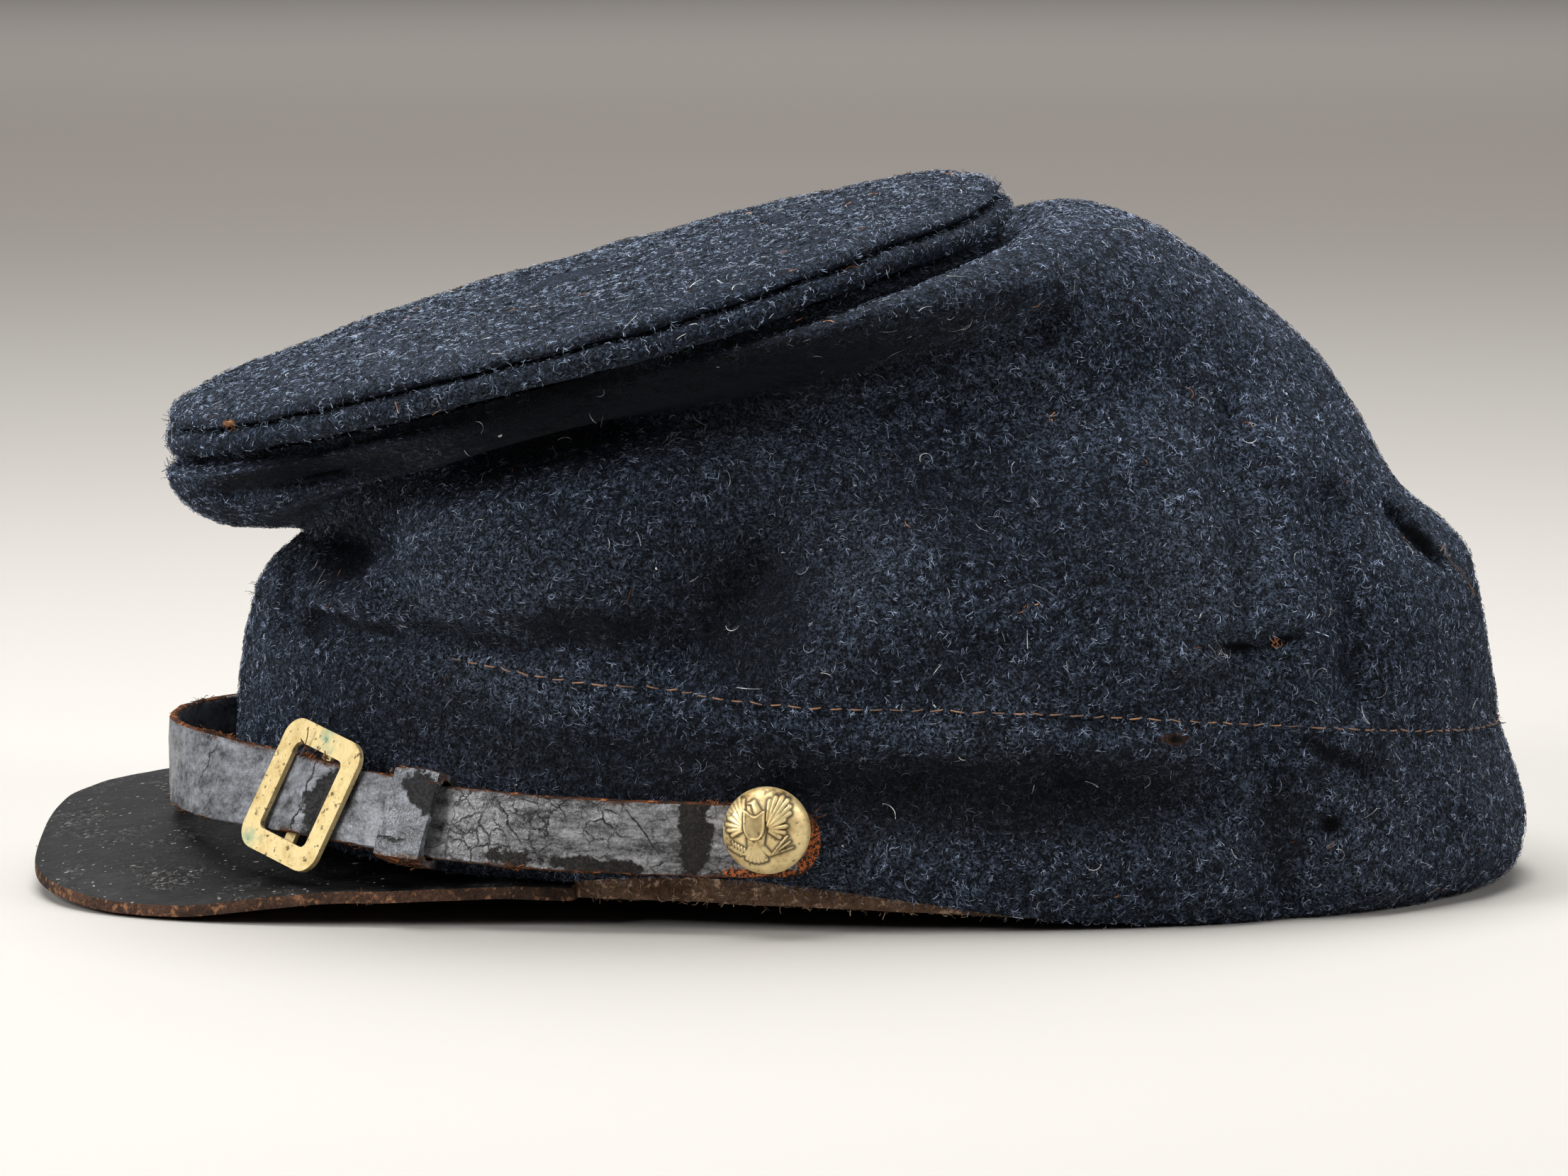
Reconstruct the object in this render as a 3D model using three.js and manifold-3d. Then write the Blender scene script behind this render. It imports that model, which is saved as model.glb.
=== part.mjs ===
// A forage cap (kepi): a soft wool crown that slumps forward under its round flat top, a wool band,
// a leather sweatband, a leather peak and a leather chin strap with a brass slide buckle and two buttons.
// Millimetres, +Z up. The peak points to -X, and the wearer's left side faces -Y.
// The origin is on the surface that the cap rests on, under the middle of its bounding box.
import * as THREE from "three";
import { mergeVertices } from "three/addons/utils/BufferGeometryUtils.js";
import Module from "manifold-3d";

const wasm = await Module();
wasm.setup();

// Driving sizes of the cloth cap
const headLength = 216; // band, front to back
const headWidth = 145; // band, side to side
const crownHeight = 115.4; // surface to the top of the slumped crown
const heelBulge = 5.2; // how far the slack cloth stands out behind the band's seam
const clothThickness = 1.8;
const topDiameter = 147.5;
const topThickness = 3.2;
const topDome = 2.6; // how far its middle stands above its edge
const topTilt = 15.6; // degrees, down to the front
const topRoll = 1.4; // degrees, down to the wearer's left
const weltHeight = 4.2;
const weltWidth = 9;
const weltStandout = 1.2; // how far it stands out past the round top

// Driving sizes of the leather and brass
const sweatbandHeight = 29;
const sweatbandThickness = 1.3;
const sweatbandLip = 4.4; // how far its lower edge shows under the hem
const sideLift = 4.7; // how far the rim stands off the surface beside the peak
const frontLift = 10; // and in the middle of the front
const peakReach = 34.2; // in front of the band
const peakThickness = 2.5;
const peakRoundness = 3.3; // of its outline: 2 is an ellipse, higher is squarer
const tipLift = 4.6; // how far the middle of the peak's edge stands off the surface
const tipTwist = 10; // how much higher the wearer's right corner of the peak is
const strapThickness = 1.5;
const outerStrapWidth = 14.4;
const innerStrapWidth = 12.2;
const strapStandoff = 8.5; // the slack loop in front of the band
const strapHeight = 15.8; // its middle above the surface, at the buttons
const strapRise = 4.6; // how much higher it runs at the front
const strapLean = 22; // degrees, how far it leans in to the band beside the peak
const keeperWidth = 9;
const keeperThickness = 1.1;
const buckleLength = 17; // along the strap
const buckleHeight = 23.2;
const buckleSide = 2.2;
const buckleEnd = 3.2;
const buckleCorner = 3.6;
const buckleThickness = 1;
const buckleTilt = 10; // degrees, its top leaning to the back
const buttonDiameter = 14.2;
const buttonDome = 3.4;
const buttonRim = 1.2;
const buttonRise = 2; // above the middle of the strap
const reliefHeight = 0.4; // of the eagle stamped on the buttons
const shankDiameter = 2.4;

// Where the fittings sit: distances round the band from the middle of its front
const buckleAt = 49.5;
const keeperAt = 70;
const buttonAt = 127.5;
const innerStrapEnd = 14;
const doubling = 44; // the length in which the outer strap steps out to lie over the inner one

// Fits
const seamGap = 0.3; // between pieces that are sewn or pressed together
const looseGap = 0.5; // round what slides on the strap
const shankClearance = 0.25;

// Fineness of the facets
const aroundSteps = 54;
const leftFineness = 0.3; // the facets are finer on the wearer's left and coarser on the right
const crownSteps = 20;
const bandSteps = 6;
const topSteps = 46;
const peakSteps = 36;
const buttonSteps = 16;

const smooth = THREE.MathUtils.smoothstep;
const lerp = THREE.MathUtils.lerp;
const radians = THREE.MathUtils.degToRad;
const up = new THREE.Vector3(0, 0, 1);
const slope = 1e-3; // the step that directions on a surface are found with
const steps = (count) => Array.from({ length: count + 1 }, (_, i) => i / count);

// The bounding box is centred on the origin: peak, band and the heel bulge behind it.
const headMiddle = (peakReach - heelBulge) / 2;
const halfLength = headLength / 2;
const halfWidth = headWidth / 2;

// A ring round the head. Its angle is 0 at the back, 90 degrees on the wearer's left, 180 at the front.
// x, z and widths are shares of the head's half length, the crown's height and the head's half width.
function headRing(row, angle) {
  const c = Math.cos(angle);
  const s = Math.sin(angle);
  const reach = c < 0 ? row.wide_x - row.front_x : row.back_x - row.wide_x;
  const rise =
    row.side_z +
    (row.front_z - row.side_z) * Math.max(0, -c) ** row.front_bend +
    (row.back_z - row.side_z) * Math.max(0, c) ** row.back_bend;
  return new THREE.Vector3(
    headMiddle + halfLength * (row.wide_x + reach * Math.sign(c) * Math.abs(c) ** (2 / row.square)),
    -row.width * halfWidth * Math.sign(s) * Math.abs(s) ** (2 / row.square),
    rise * crownHeight,
  );
}

// The round top's own frame: its middle between welt and top, and how it is turned.
const topRadius = topDiameter / 2;
const topMiddle = new THREE.Vector3(headMiddle - 0.448 * halfLength, 0, 0.838 * crownHeight);
const topTurn = new THREE.Quaternion()
  .setFromAxisAngle(new THREE.Vector3(1, 0, 0), radians(topRoll))
  .multiply(new THREE.Quaternion().setFromAxisAngle(new THREE.Vector3(0, 1, 0), radians(-topTilt)));
const topUp = up.clone().applyQuaternion(topTurn);

// A ring under the welt. Radii are shares of the top's radius, drops are shares of the crown's height.
function neckRing(row, angle) {
  const c = Math.cos(angle);
  const front = Math.max(0, -c) ** 2;
  const back = Math.max(0, c) ** 2;
  const side = 1 - front - back;
  const radius = topRadius * (row.front * front + row.side * side + row.back * back);
  const drop = row.front_drop * front + row.side_drop * side + row.back_drop * back;
  const height = -weltHeight - seamGap - crownHeight * drop;
  return new THREE.Vector3(radius * c, -radius * Math.sin(angle), height)
    .applyQuaternion(topTurn)
    .add(topMiddle);
}

// The crown from its seam with the band up to the fold round the head, then in under the welt.
const crownRows = [
  {
    front_x: -0.972, front_z: 0.425, width: 0.985, side_z: 0.318,
    back_x: 0.996, back_z: 0.228, wide_x: 0, front_bend: 1.6, back_bend: 1.6, square: 2.12,
  },
  {
    front_x: -0.955, front_z: 0.456, width: 1.0, side_z: 0.4,
    back_x: 0.98, back_z: 0.36, wide_x: 0, front_bend: 1.6, back_bend: 1.5, square: 2.12,
  },
  {
    front_x: -0.93, front_z: 0.481, width: 0.978, side_z: 0.49,
    back_x: 0.932, back_z: 0.478, wide_x: 0, front_bend: 1.8, back_bend: 1.3, square: 2.15,
  },
  {
    front_x: -0.908, front_z: 0.498, width: 0.93, side_z: 0.575,
    back_x: 0.838, back_z: 0.577, wide_x: -0.02, front_bend: 2, back_bend: 1.2, square: 2.2,
  },
  {
    front_x: -0.888, front_z: 0.508, width: 0.865, side_z: 0.65,
    back_x: 0.788, back_z: 0.665, wide_x: -0.06, front_bend: 2.4, back_bend: 1.2, square: 2.25,
  },
  {
    front_x: -0.9, front_z: 0.516, width: 0.745, side_z: 0.722,
    back_x: 0.713, back_z: 0.77, wide_x: -0.12, front_bend: 3, back_bend: 1, square: 2.3,
  },
  {
    front_x: -1.01, front_z: 0.524, width: 0.79, side_z: 0.745,
    back_x: 0.586, back_z: 0.872, wide_x: -0.2, front_bend: 1.2, back_bend: 1, square: 2.6,
  },
  {
    front_x: -1.083, front_z: 0.56, width: 0.87, side_z: 0.762,
    back_x: 0.446, back_z: 0.963, wide_x: -0.26, front_bend: 0.78, back_bend: 0.95, square: 2.75,
  },
  {
    front_x: -1.11, front_z: 0.606, width: 0.92, side_z: 0.785,
    back_x: 0.303, back_z: 0.996, wide_x: -0.32, front_bend: 0.68, back_bend: 0.9, square: 2.75,
  },
];
const neckRows = [
  { front: 0.985, side: 0.915, back: 0.99, front_drop: 0.012, side_drop: 0.012, back_drop: 0.03 },
  { front: 0.97, side: 0.91, back: 0.93, front_drop: 0, side_drop: 0, back_drop: 0 },
];

// The band from its hem up. rise is the height of a ring between the hem (0) and the seam (1).
const bandRows = [
  { front_x: -0.985, back_x: 0.985, width: 0.962, rise: 0 },
  { front_x: -0.998, back_x: 1.035, width: 0.985, rise: 0.12 },
  { front_x: -1.0, back_x: 1.046, width: 1.0, rise: 0.36 },
  { front_x: -0.998, back_x: 1.024, width: 0.997, rise: 0.7 },
  { ...crownRows[0], rise: 1 },
];
// A band row's outline on the surface that the cap rests on
const flat = { wide_x: 0, front_z: 0, side_z: 0, back_z: 0, front_bend: 1, back_bend: 1, square: 2.12 };
const planRing = (row, angle) => headRing({ ...row, ...flat }, angle);

// The rim rests on the surface from the sides back, and arches up over the peak at the front.
const fromBack = (angle) => Math.min(angle, 2 * Math.PI - angle);
const rimHeight = (angle) =>
  sideLift * smooth(fromBack(angle), radians(50), radians(110)) +
  (frontLift - sideLift) * smooth(fromBack(angle), radians(120), Math.PI);
// The sweatband's lower edge shows under the hem along each side, next to the end of the peak.
const lipShare = (angle) =>
  smooth(fromBack(angle), radians(73), radians(102)) *
  (1 - smooth(fromBack(angle), radians(108), radians(124)));
const overPeak = (angle) => smooth(fromBack(angle), radians(101), radians(115));
const hemHeight = (angle) =>
  rimHeight(angle) + Math.max((peakThickness + seamGap) * overPeak(angle), sweatbandLip * lipShare(angle));

function bandRing(row, angle) {
  const seam = headRing(crownRows[0], angle).z - seamGap;
  return planRing(row, angle).setZ(lerp(hemHeight(angle), seam, row.rise));
}

// A smooth surface through rings: share runs from 0 at the first ring to 1 at the last.
function throughRings(rings) {
  const curves = new Map();
  return (angle, share) => {
    if (!curves.has(angle))
      curves.set(
        angle,
        new THREE.CatmullRomCurve3(rings.map((ring) => ring(angle)), false, "centripetal"),
      );
    return curves.get(angle).getPoint(share);
  };
}
const crownRings = throughRings([
  ...crownRows.map((row) => (angle) => headRing(row, angle)),
  ...neckRows.map((row) => (angle) => neckRing(row, angle)),
]);
// The cloth keeps under the welt, and may only stand higher outside it.
function underWelt(point) {
  const local = point.sub(topMiddle).applyQuaternion(topTurn.clone().invert());
  const outside = Math.max(0, Math.hypot(local.x, local.y) - topRadius - weltStandout - clothThickness);
  local.z = Math.min(local.z, 1.5 * outside - weltHeight - seamGap);
  return local.applyQuaternion(topTurn).add(topMiddle);
}
const crownBase = (angle, share) => underWelt(crownRings(angle, share));
const bandSurface = throughRings(bandRows.map((row) => (angle) => bandRing(row, angle)));

// The direction into the cap, square to a surface of angle and share. At an edge it keeps to the
// plane square to that edge's axis, so that two walls that meet there stay clear of each other.
function inwards(surface, angle, share, axes) {
  const along = surface(angle + slope, share).sub(surface(angle - slope, share));
  const rise = surface(angle, Math.min(1, share + slope)).sub(surface(angle, Math.max(0, share - slope)));
  const direction = along.cross(rise).normalize();
  const axis = share === 0 ? axes.first : axes.last;
  if (share === 0 || share === 1) direction.addScaledVector(axis, -direction.dot(axis));
  return direction.normalize();
}

// Folds and dents of the slack cloth, each along a line between two places on the crown.
// Angles are in degrees, shares run up the crown, width is a share of the head's half width,
// and push is a share of the crown's height, outwards where it is above 0.
const folds = [
  {
    name: "crease up the left front",
    from: 152, from_share: 0.05, to: 146, to_share: 0.3,
    width: 0.07, push: -0.022,
  },
  {
    name: "knob beside it",
    from: 141, from_share: 0.1, to: 133, to_share: 0.14,
    width: 0.1, push: 0.02,
  },
  {
    name: "dimple over the knob",
    from: 143, from_share: 0.26, to: 140, to_share: 0.28,
    width: 0.08, push: -0.018,
  },
  {
    name: "swell of the left side",
    from: 128, from_share: 0.3, to: 112, to_share: 0.26,
    width: 0.17, push: 0.022,
  },
  {
    name: "slanting dent",
    from: 112, from_share: 0.12, to: 97, to_share: 0.27,
    width: 0.13, push: -0.03,
  },
  {
    name: "hollow before the slump",
    from: 85, from_share: 0.3, to: 66, to_share: 0.42,
    width: 0.14, push: -0.016,
  },
  {
    name: "upright ripple at the left back",
    from: 44, from_share: 0.05, to: 47, to_share: 0.4,
    width: 0.08, push: -0.02,
  },
  {
    name: "upright ridge behind it",
    from: 33, from_share: 0.08, to: 34, to_share: 0.36,
    width: 0.1, push: 0.016,
  },
  {
    name: "lap of the split back seam",
    from: 3, from_share: 0.24, to: 18, to_share: 0.3,
    width: 0.08, push: 0.02,
  },
  {
    name: "dent at the right side",
    from: 250, from_share: 0.2, to: 278, to_share: 0.3,
    width: 0.16, push: -0.02,
  },
];
const crownAxes = { first: up, last: topUp };
const foldLines = folds.map((fold) => ({
  line: new THREE.Line3(
    crownBase(radians(fold.from), fold.from_share),
    crownBase(radians(fold.to), fold.to_share),
  ),
  width: fold.width * halfWidth,
  push: fold.push * crownHeight,
}));
function crownSurface(angle, share) {
  const point = crownBase(angle, share);
  const nearest = new THREE.Vector3();
  const push = foldLines.reduce((sum, fold) => {
    fold.line.closestPointToPoint(point, true, nearest);
    return sum + fold.push * Math.exp(-((nearest.distanceTo(point) / fold.width) ** 2));
  }, 0);
  const fade = smooth(share, 0, 0.06) * (1 - smooth(share, 0.94, 1));
  return point.addScaledVector(inwards(crownBase, angle, share, crownAxes), -push * fade);
}

// Solids from closed rings of points, joined in turn. A ring-shaped solid joins the last to the first,
// and a solid with ends closes them with fans.
function solidFromRings(rings, withEnds) {
  const count = rings[0].length;
  const corners = rings.flat();
  const faces = [];
  const last = rings.length - 1;
  rings.slice(0, withEnds ? last : rings.length).forEach((_, i) => {
    const next = ((i + 1) % rings.length) * count;
    for (let j = 0; j < count; j++) {
      const k = (j + 1) % count;
      faces.push([i * count + j, i * count + k, next + k]);
      faces.push([i * count + j, next + k, next + j]);
    }
  });
  for (let j = 1; withEnds && j + 1 < count; j++) {
    faces.push([0, j + 1, j]);
    faces.push([last * count, last * count + j, last * count + j + 1]);
  }
  const volume = faces.reduce(
    (sum, [a, b, c]) => sum + corners[a].dot(corners[b].clone().cross(corners[c])),
    0,
  );
  const geometry = new THREE.BufferGeometry().setFromPoints(corners);
  geometry.setIndex(faces.flatMap(([a, b, c]) => (volume > 0 ? [a, b, c] : [a, c, b])));
  return geometry;
}

const angles = steps(aroundSteps)
  .slice(0, -1)
  .map((share) => 2 * Math.PI * share + leftFineness * Math.cos(2 * Math.PI * share));

// A cloth or leather wall of one thickness, set inside a surface of angle and share.
function wall(surface, inset, thickness, upSteps, axes) {
  const ring = (share, depth) =>
    angles.map((angle) => {
      const into = inwards(surface, angle, share, axes);
      return surface(angle, share).addScaledVector(into, depth);
    });
  const outer = steps(upSteps).map((share) => ring(share, inset));
  const inner = steps(upSteps).map((share) => ring(share, inset + thickness));
  return solidFromRings([...outer, ...inner.reverse()], false);
}

// Joins and cuts
function toSolid(geometry) {
  const bare = new THREE.BufferGeometry();
  bare.setAttribute("position", geometry.getAttribute("position").clone());
  if (geometry.index) bare.setIndex(geometry.index.clone());
  const merged = mergeVertices(bare, 1e-4);
  const mesh = new wasm.Mesh({
    numProp: 3,
    vertProperties: merged.attributes.position.array,
    triVerts: new Uint32Array(merged.index.array),
  });
  return new wasm.Manifold(mesh);
}
function toGeometry(solid) {
  const mesh = solid.getMesh();
  const geometry = new THREE.BufferGeometry();
  geometry.setAttribute("position", new THREE.BufferAttribute(mesh.vertProperties, 3));
  geometry.setIndex(new THREE.BufferAttribute(mesh.triVerts, 1));
  return geometry;
}
const cut = (geometry, tools) =>
  toGeometry(tools.reduce((solid, tool) => solid.subtract(toSolid(tool)), toSolid(geometry)));
const join = (geometries) =>
  toGeometry(geometries.map(toSolid).reduce((joined, solid) => joined.add(solid)));

const wool = { color: 0x1e2836, roughness: 0.95, metalness: 0 };
const blackLeather = { color: 0x232324, roughness: 0.5, metalness: 0 };
const brownLeather = { color: 0x6b4a35, roughness: 0.85, metalness: 0 };
const brass = { color: 0xb8924a, roughness: 0.4, metalness: 1 };
const cap = new THREE.Group();
function add(name, geometry, finish) {
  const mesh = new THREE.Mesh(geometry, new THREE.MeshStandardMaterial(finish));
  mesh.name = name;
  cap.add(mesh);
}

// Crown
add("crown", wall(crownSurface, 0, clothThickness, crownSteps, crownAxes), wool);

// Welt and round top, turned about the top's own axis
function turnedOnTop(profile) {
  const points = profile.map(([radius, height]) => new THREE.Vector2(radius, height));
  return new THREE.LatheGeometry(points, topSteps)
    .rotateX(Math.PI / 2)
    .applyQuaternion(topTurn)
    .translate(topMiddle.x, topMiddle.y, topMiddle.z);
}
const weltRadius = topRadius + weltStandout;
const weltRound = weltHeight / 2;
const weltEdge = steps(6).map((share) => {
  const angle = Math.PI * (share - 0.5);
  return [weltRadius - weltRound + weltRound * Math.cos(angle), weltRound * (Math.sin(angle) - 1)];
});
const weltInside = weltRadius - weltWidth;
const weltLoop = [[weltInside, -weltHeight], ...weltEdge, [weltInside, 0], [weltInside, -weltHeight]];
add("welt", turnedOnTop(weltLoop), wool);
add(
  "top_disc",
  turnedOnTop([
    [0, seamGap + topDome],
    [topRadius / 2, seamGap + 0.8 * topDome],
    [0.85 * topRadius, seamGap + 0.3 * topDome],
    [topRadius - weltWidth + weltStandout, seamGap],
    [topRadius - 1.2, seamGap],
    [topRadius - 0.1, seamGap + 0.3 * topThickness],
    [topRadius - 0.6, seamGap + 0.65 * topThickness],
    [topRadius - 2.6, seamGap + 0.93 * topThickness],
    [0.85 * topRadius, seamGap + topThickness + 0.3 * topDome],
    [topRadius / 2, seamGap + topThickness + 0.8 * topDome],
    [0, seamGap + topThickness + topDome],
  ]),
  wool,
);

// Sweatband, straight up inside the hem
const hemPlan = (angle) => planRing(bandRows[0], angle);
const sweatbandSurface = (angle, share) =>
  hemPlan(angle).setZ(rimHeight(angle) + share * sweatbandHeight);
const levelAxes = { first: up, last: up };
add(
  "sweatband",
  wall(sweatbandSurface, clothThickness + seamGap, sweatbandThickness, 2, levelAxes),
  brownLeather,
);

// Peak, from under the hem out to its own outline
const peakRoot = radians(64); // from the middle of the front to where each end leaves the hem
function peakEdge(share) {
  const root = hemPlan(Math.PI - peakRoot);
  const turn = (share * Math.PI) / 2;
  const length = root.x - (headMiddle - halfLength - peakReach);
  const across = (Math.abs(root.y) + clothThickness / 2) * Math.abs(Math.sin(turn)) ** (2 / peakRoundness);
  const point = new THREE.Vector3(
    root.x - length * Math.abs(Math.cos(turn)) ** (2 / peakRoundness),
    -Math.sign(share) * across,
    0,
  );
  const free = Math.max(0, tipLift + (tipTwist * point.y) / (2 * Math.abs(root.y)));
  const sewn = rimHeight(Math.PI - peakRoot);
  return point.setZ(lerp(free, sewn, smooth(Math.abs(share), 0.5, 1)));
}
const peakSpan = steps(peakSteps).map((share) => 2 * share - 1);
const peakOut = [0, 0.12, 0.5, 0.88, 1];
const peakRings = peakSpan.map((share) => {
  const angle = Math.PI - share * peakRoot;
  const edge = peakEdge(share);
  const root = hemPlan(angle).setZ(rimHeight(angle));
  root.addScaledVector(inwards(sweatbandSurface, angle, 0, levelAxes), clothThickness);
  const under = peakOut.map((out) => root.clone().lerp(edge, out));
  const over = under.map((point, i) => {
    const rounded = i === peakOut.length - 1 ? 0.8 : 1;
    return point.clone().addScaledVector(up, peakThickness * rounded);
  });
  return [...under, ...over.reverse()];
});
add("peak", solidFromRings(peakRings, true), blackLeather);

const keeperInside = innerStrapWidth + seamGap + 2 * looseGap;

// Line of the chin strap: round the widest part of the band, with its slack in front
const strapPlan = (angle) => planRing(bandRows[2], angle);
const strapLine = [{ angle: Math.PI, distance: 0 }];
for (const share of steps(600).slice(1)) {
  const last = strapLine[strapLine.length - 1];
  const angle = Math.PI * (1 - share);
  const distance = last.distance + strapPlan(angle).distanceTo(strapPlan(last.angle));
  strapLine.push({ angle, distance });
}
// The angle at a distance round the band from the middle of its front, above 0 on the wearer's left
function angleAt(distance) {
  const away = Math.abs(distance);
  const i = Math.max(1, strapLine.findIndex((place) => place.distance >= away));
  const [a, b] = [strapLine[i - 1], strapLine[i]];
  const angle = lerp(a.angle, b.angle, (away - a.distance) / (b.distance - a.distance));
  return distance < 0 ? 2 * Math.PI - angle : angle;
}
// How far the strap leans: its upper edge is nearer the band where the slack loop comes back to it
const leanAt = (distance) => {
  const away = Math.abs(distance);
  const ease = keeperAt - buckleAt;
  return radians(strapLean) * smooth(away, 0, buckleAt) * (1 - smooth(away, keeperAt, keeperAt + 2 * ease));
};
// How far the back of the inner strap stands off the band: past the keeper's own back, and the slack
const underKeeper = keeperThickness + seamGap;
const strapLift = (distance) => {
  const away = Math.abs(distance);
  const keeperLift = underKeeper * (1 - smooth(away, keeperAt + keeperWidth, buttonAt - buttonDiameter));
  const leanLift = (keeperInside / 2 + keeperThickness) * Math.sin(leanAt(distance));
  const slack = (strapStandoff - underKeeper) * (1 - smooth(away, 0, keeperAt));
  return seamGap + keeperLift + Math.max(leanLift, slack);
};
const strapPoint = (distance) => {
  const angle = angleAt(distance);
  const out = up.clone().cross(strapPlan(angle + slope).sub(strapPlan(angle - slope))).normalize();
  const rise = strapRise * (1 - smooth(Math.abs(distance), 0, buttonAt - buttonDiameter));
  return strapPlan(angle).addScaledVector(out, strapLift(distance)).setZ(strapHeight + rise);
};
// A place on the strap: the middle of its back, and the ways along it, out of the band and up
function strapPlace(distance) {
  const along = strapPoint(distance + 0.5).sub(strapPoint(distance - 0.5)).normalize();
  const out = along.clone().cross(up).normalize().applyAxisAngle(along, -leanAt(distance));
  const across = out.clone().cross(along).normalize();
  return { point: strapPoint(distance), along, out, across };
}
const onStrap = (place, along, across, out) =>
  place.point
    .clone()
    .addScaledVector(place.along, along)
    .addScaledVector(place.across, across)
    .addScaledVector(place.out, out);

// A strap along the line: its depth is the distance from the line out to its back
function strap(distances, width, depth) {
  const rings = distances.map((distance) => {
    const place = strapPlace(distance);
    const half = width(distance) / 2;
    const back = depth(distance);
    const front = back + strapThickness;
    return [
      [-half, back],
      [half, back],
      [half, front],
      [-half, front],
    ].map(([across, out]) => onStrap(place, 0, across, out));
  });
  return solidFromRings(rings, true);
}
const strapTail = buttonDiameter / 2 + 1.6; // past the middle of a button, with a round end
const tailWidth = (distance, width) => {
  const reach = (Math.abs(distance) - buttonAt - strapTail + width / 2) / (width / 2);
  return width * Math.sqrt(1 - Math.max(0, reach) ** 2);
};
const roundStart = buttonAt + strapTail - innerStrapWidth / 2;
const tailShares = [0.3, 0.55, 0.75, 0.9, 0.97];
const tailDistances = tailShares.map((share) => roundStart + (innerStrapWidth / 2) * share);

// Button and the hole that its shank goes through
function onPlace(geometry, place, across, out) {
  const turn = new THREE.Matrix4().makeBasis(place.along, place.across, place.out);
  return geometry.applyMatrix4(turn.setPosition(onStrap(place, 0, across, out)));
}
const shankLength = strapThickness + 2 * seamGap + 0.7 * clothThickness;
const shankHole = (place) =>
  onPlace(
    new THREE.CylinderGeometry(1, 1, 6 * strapThickness, 12)
      .rotateX(Math.PI / 2)
      .scale(shankDiameter / 2 + shankClearance, shankDiameter / 2 + shankClearance, 1),
    place,
    buttonRise,
    0,
  );
const buttonRadius = buttonDiameter / 2;
// The spread eagle on a button and the plain shield on its breast: outlines as shares of the
// button's radius, with x along the strap and y up.
const eagle = [
  {
    name: "shield",
    outline: [[-0.46, 0.4], [-0.24, 0.32], [-0.02, 0.4], [0, 0.06], [-0.24, -0.2], [-0.48, 0.06]],
  },
  {
    name: "neck and head",
    outline: [[-0.2, 0.3], [-0.3, 0.52], [-0.42, 0.48], [-0.44, 0.56], [-0.22, 0.64], [-0.08, 0.3]],
  },
  {
    name: "left wing",
    outline: [[-0.4, 0.3], [-0.5, 0.66], [-0.72, 0.5], [-0.82, 0.2], [-0.72, -0.1], [-0.44, 0.04]],
  },
  {
    name: "right wing",
    outline: [[-0.06, 0.3], [0.16, 0.76], [0.36, 0.6], [0.42, 0.3], [0.3, -0.06], [-0.06, 0.04]],
  },
  {
    name: "body and tail",
    outline: [[-0.4, -0.02], [-0.08, -0.02], [-0.02, -0.4], [0.08, -0.66], [-0.44, -0.66], [-0.46, -0.4]],
  },
  {
    name: "left foot",
    outline: [[-0.42, -0.3], [-0.44, -0.44], [-0.68, -0.54], [-0.7, -0.36]],
  },
  {
    name: "right foot",
    outline: [[-0.04, -0.3], [0.44, -0.14], [0.5, -0.3], [0, -0.46]],
  },
];
const domePoints = (rise) =>
  [0, 0.3, 0.55, 0.78].map((share) => [
    buttonRadius * Math.cos((share * Math.PI) / 2),
    buttonRim + rise * Math.sin((share * Math.PI) / 2),
  ]);
function stampedButton() {
  const round = (profile) =>
    new THREE.LatheGeometry(
      profile.map(([radius, height]) => new THREE.Vector2(radius, height)),
      buttonSteps,
    ).rotateX(Math.PI / 2);
  const shell = round([
    [0, -shankLength],
    [shankDiameter / 2, -shankLength],
    [shankDiameter / 2, 0],
    [buttonRadius - 1, 0],
    [buttonRadius, buttonRim / 2],
    [buttonRadius - 0.1, buttonRim],
    ...domePoints(buttonDome).slice(1),
    [0, buttonRim + buttonDome],
  ]);
  const raised = buttonDome + reliefHeight;
  const raisedDome = round([[0, buttonRim], ...domePoints(raised), [0, buttonRim + raised]]);
  const figure = eagle.map(({ outline }) => {
    const corners = outline.map(([x, y]) => new THREE.Vector2(x * buttonRadius, y * buttonRadius));
    const settings = { depth: 2 * buttonDome, bevelEnabled: false };
    return toSolid(new THREE.ExtrudeGeometry(new THREE.Shape(corners), settings).translate(0, 0, buttonRim));
  });
  const relief = figure.reduce((joined, solid) => joined.add(solid)).intersect(toSolid(raisedDome));
  return toGeometry(toSolid(shell).add(relief));
}
const leftPlace = strapPlace(buttonAt);
const rightPlace = strapPlace(-buttonAt);
for (const [name, place] of [
  ["button_left", leftPlace],
  ["button_right", rightPlace],
]) {
  add(name, onPlace(stampedButton(), place, buttonRise, strapThickness + seamGap), brass);
}

// Inner strap: from the left button, through the keeper and behind the buckle, to a cut end in front
const spaced = (from, to, count) => steps(count).map((share) => lerp(from, to, share));
add(
  "strap_inner",
  cut(
    strap(
      [...spaced(innerStrapEnd, buttonAt, 34), ...tailDistances],
      (distance) => tailWidth(distance, innerStrapWidth),
      () => 0,
    ),
    [shankHole(leftPlace)],
  ),
  blackLeather,
);

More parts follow.
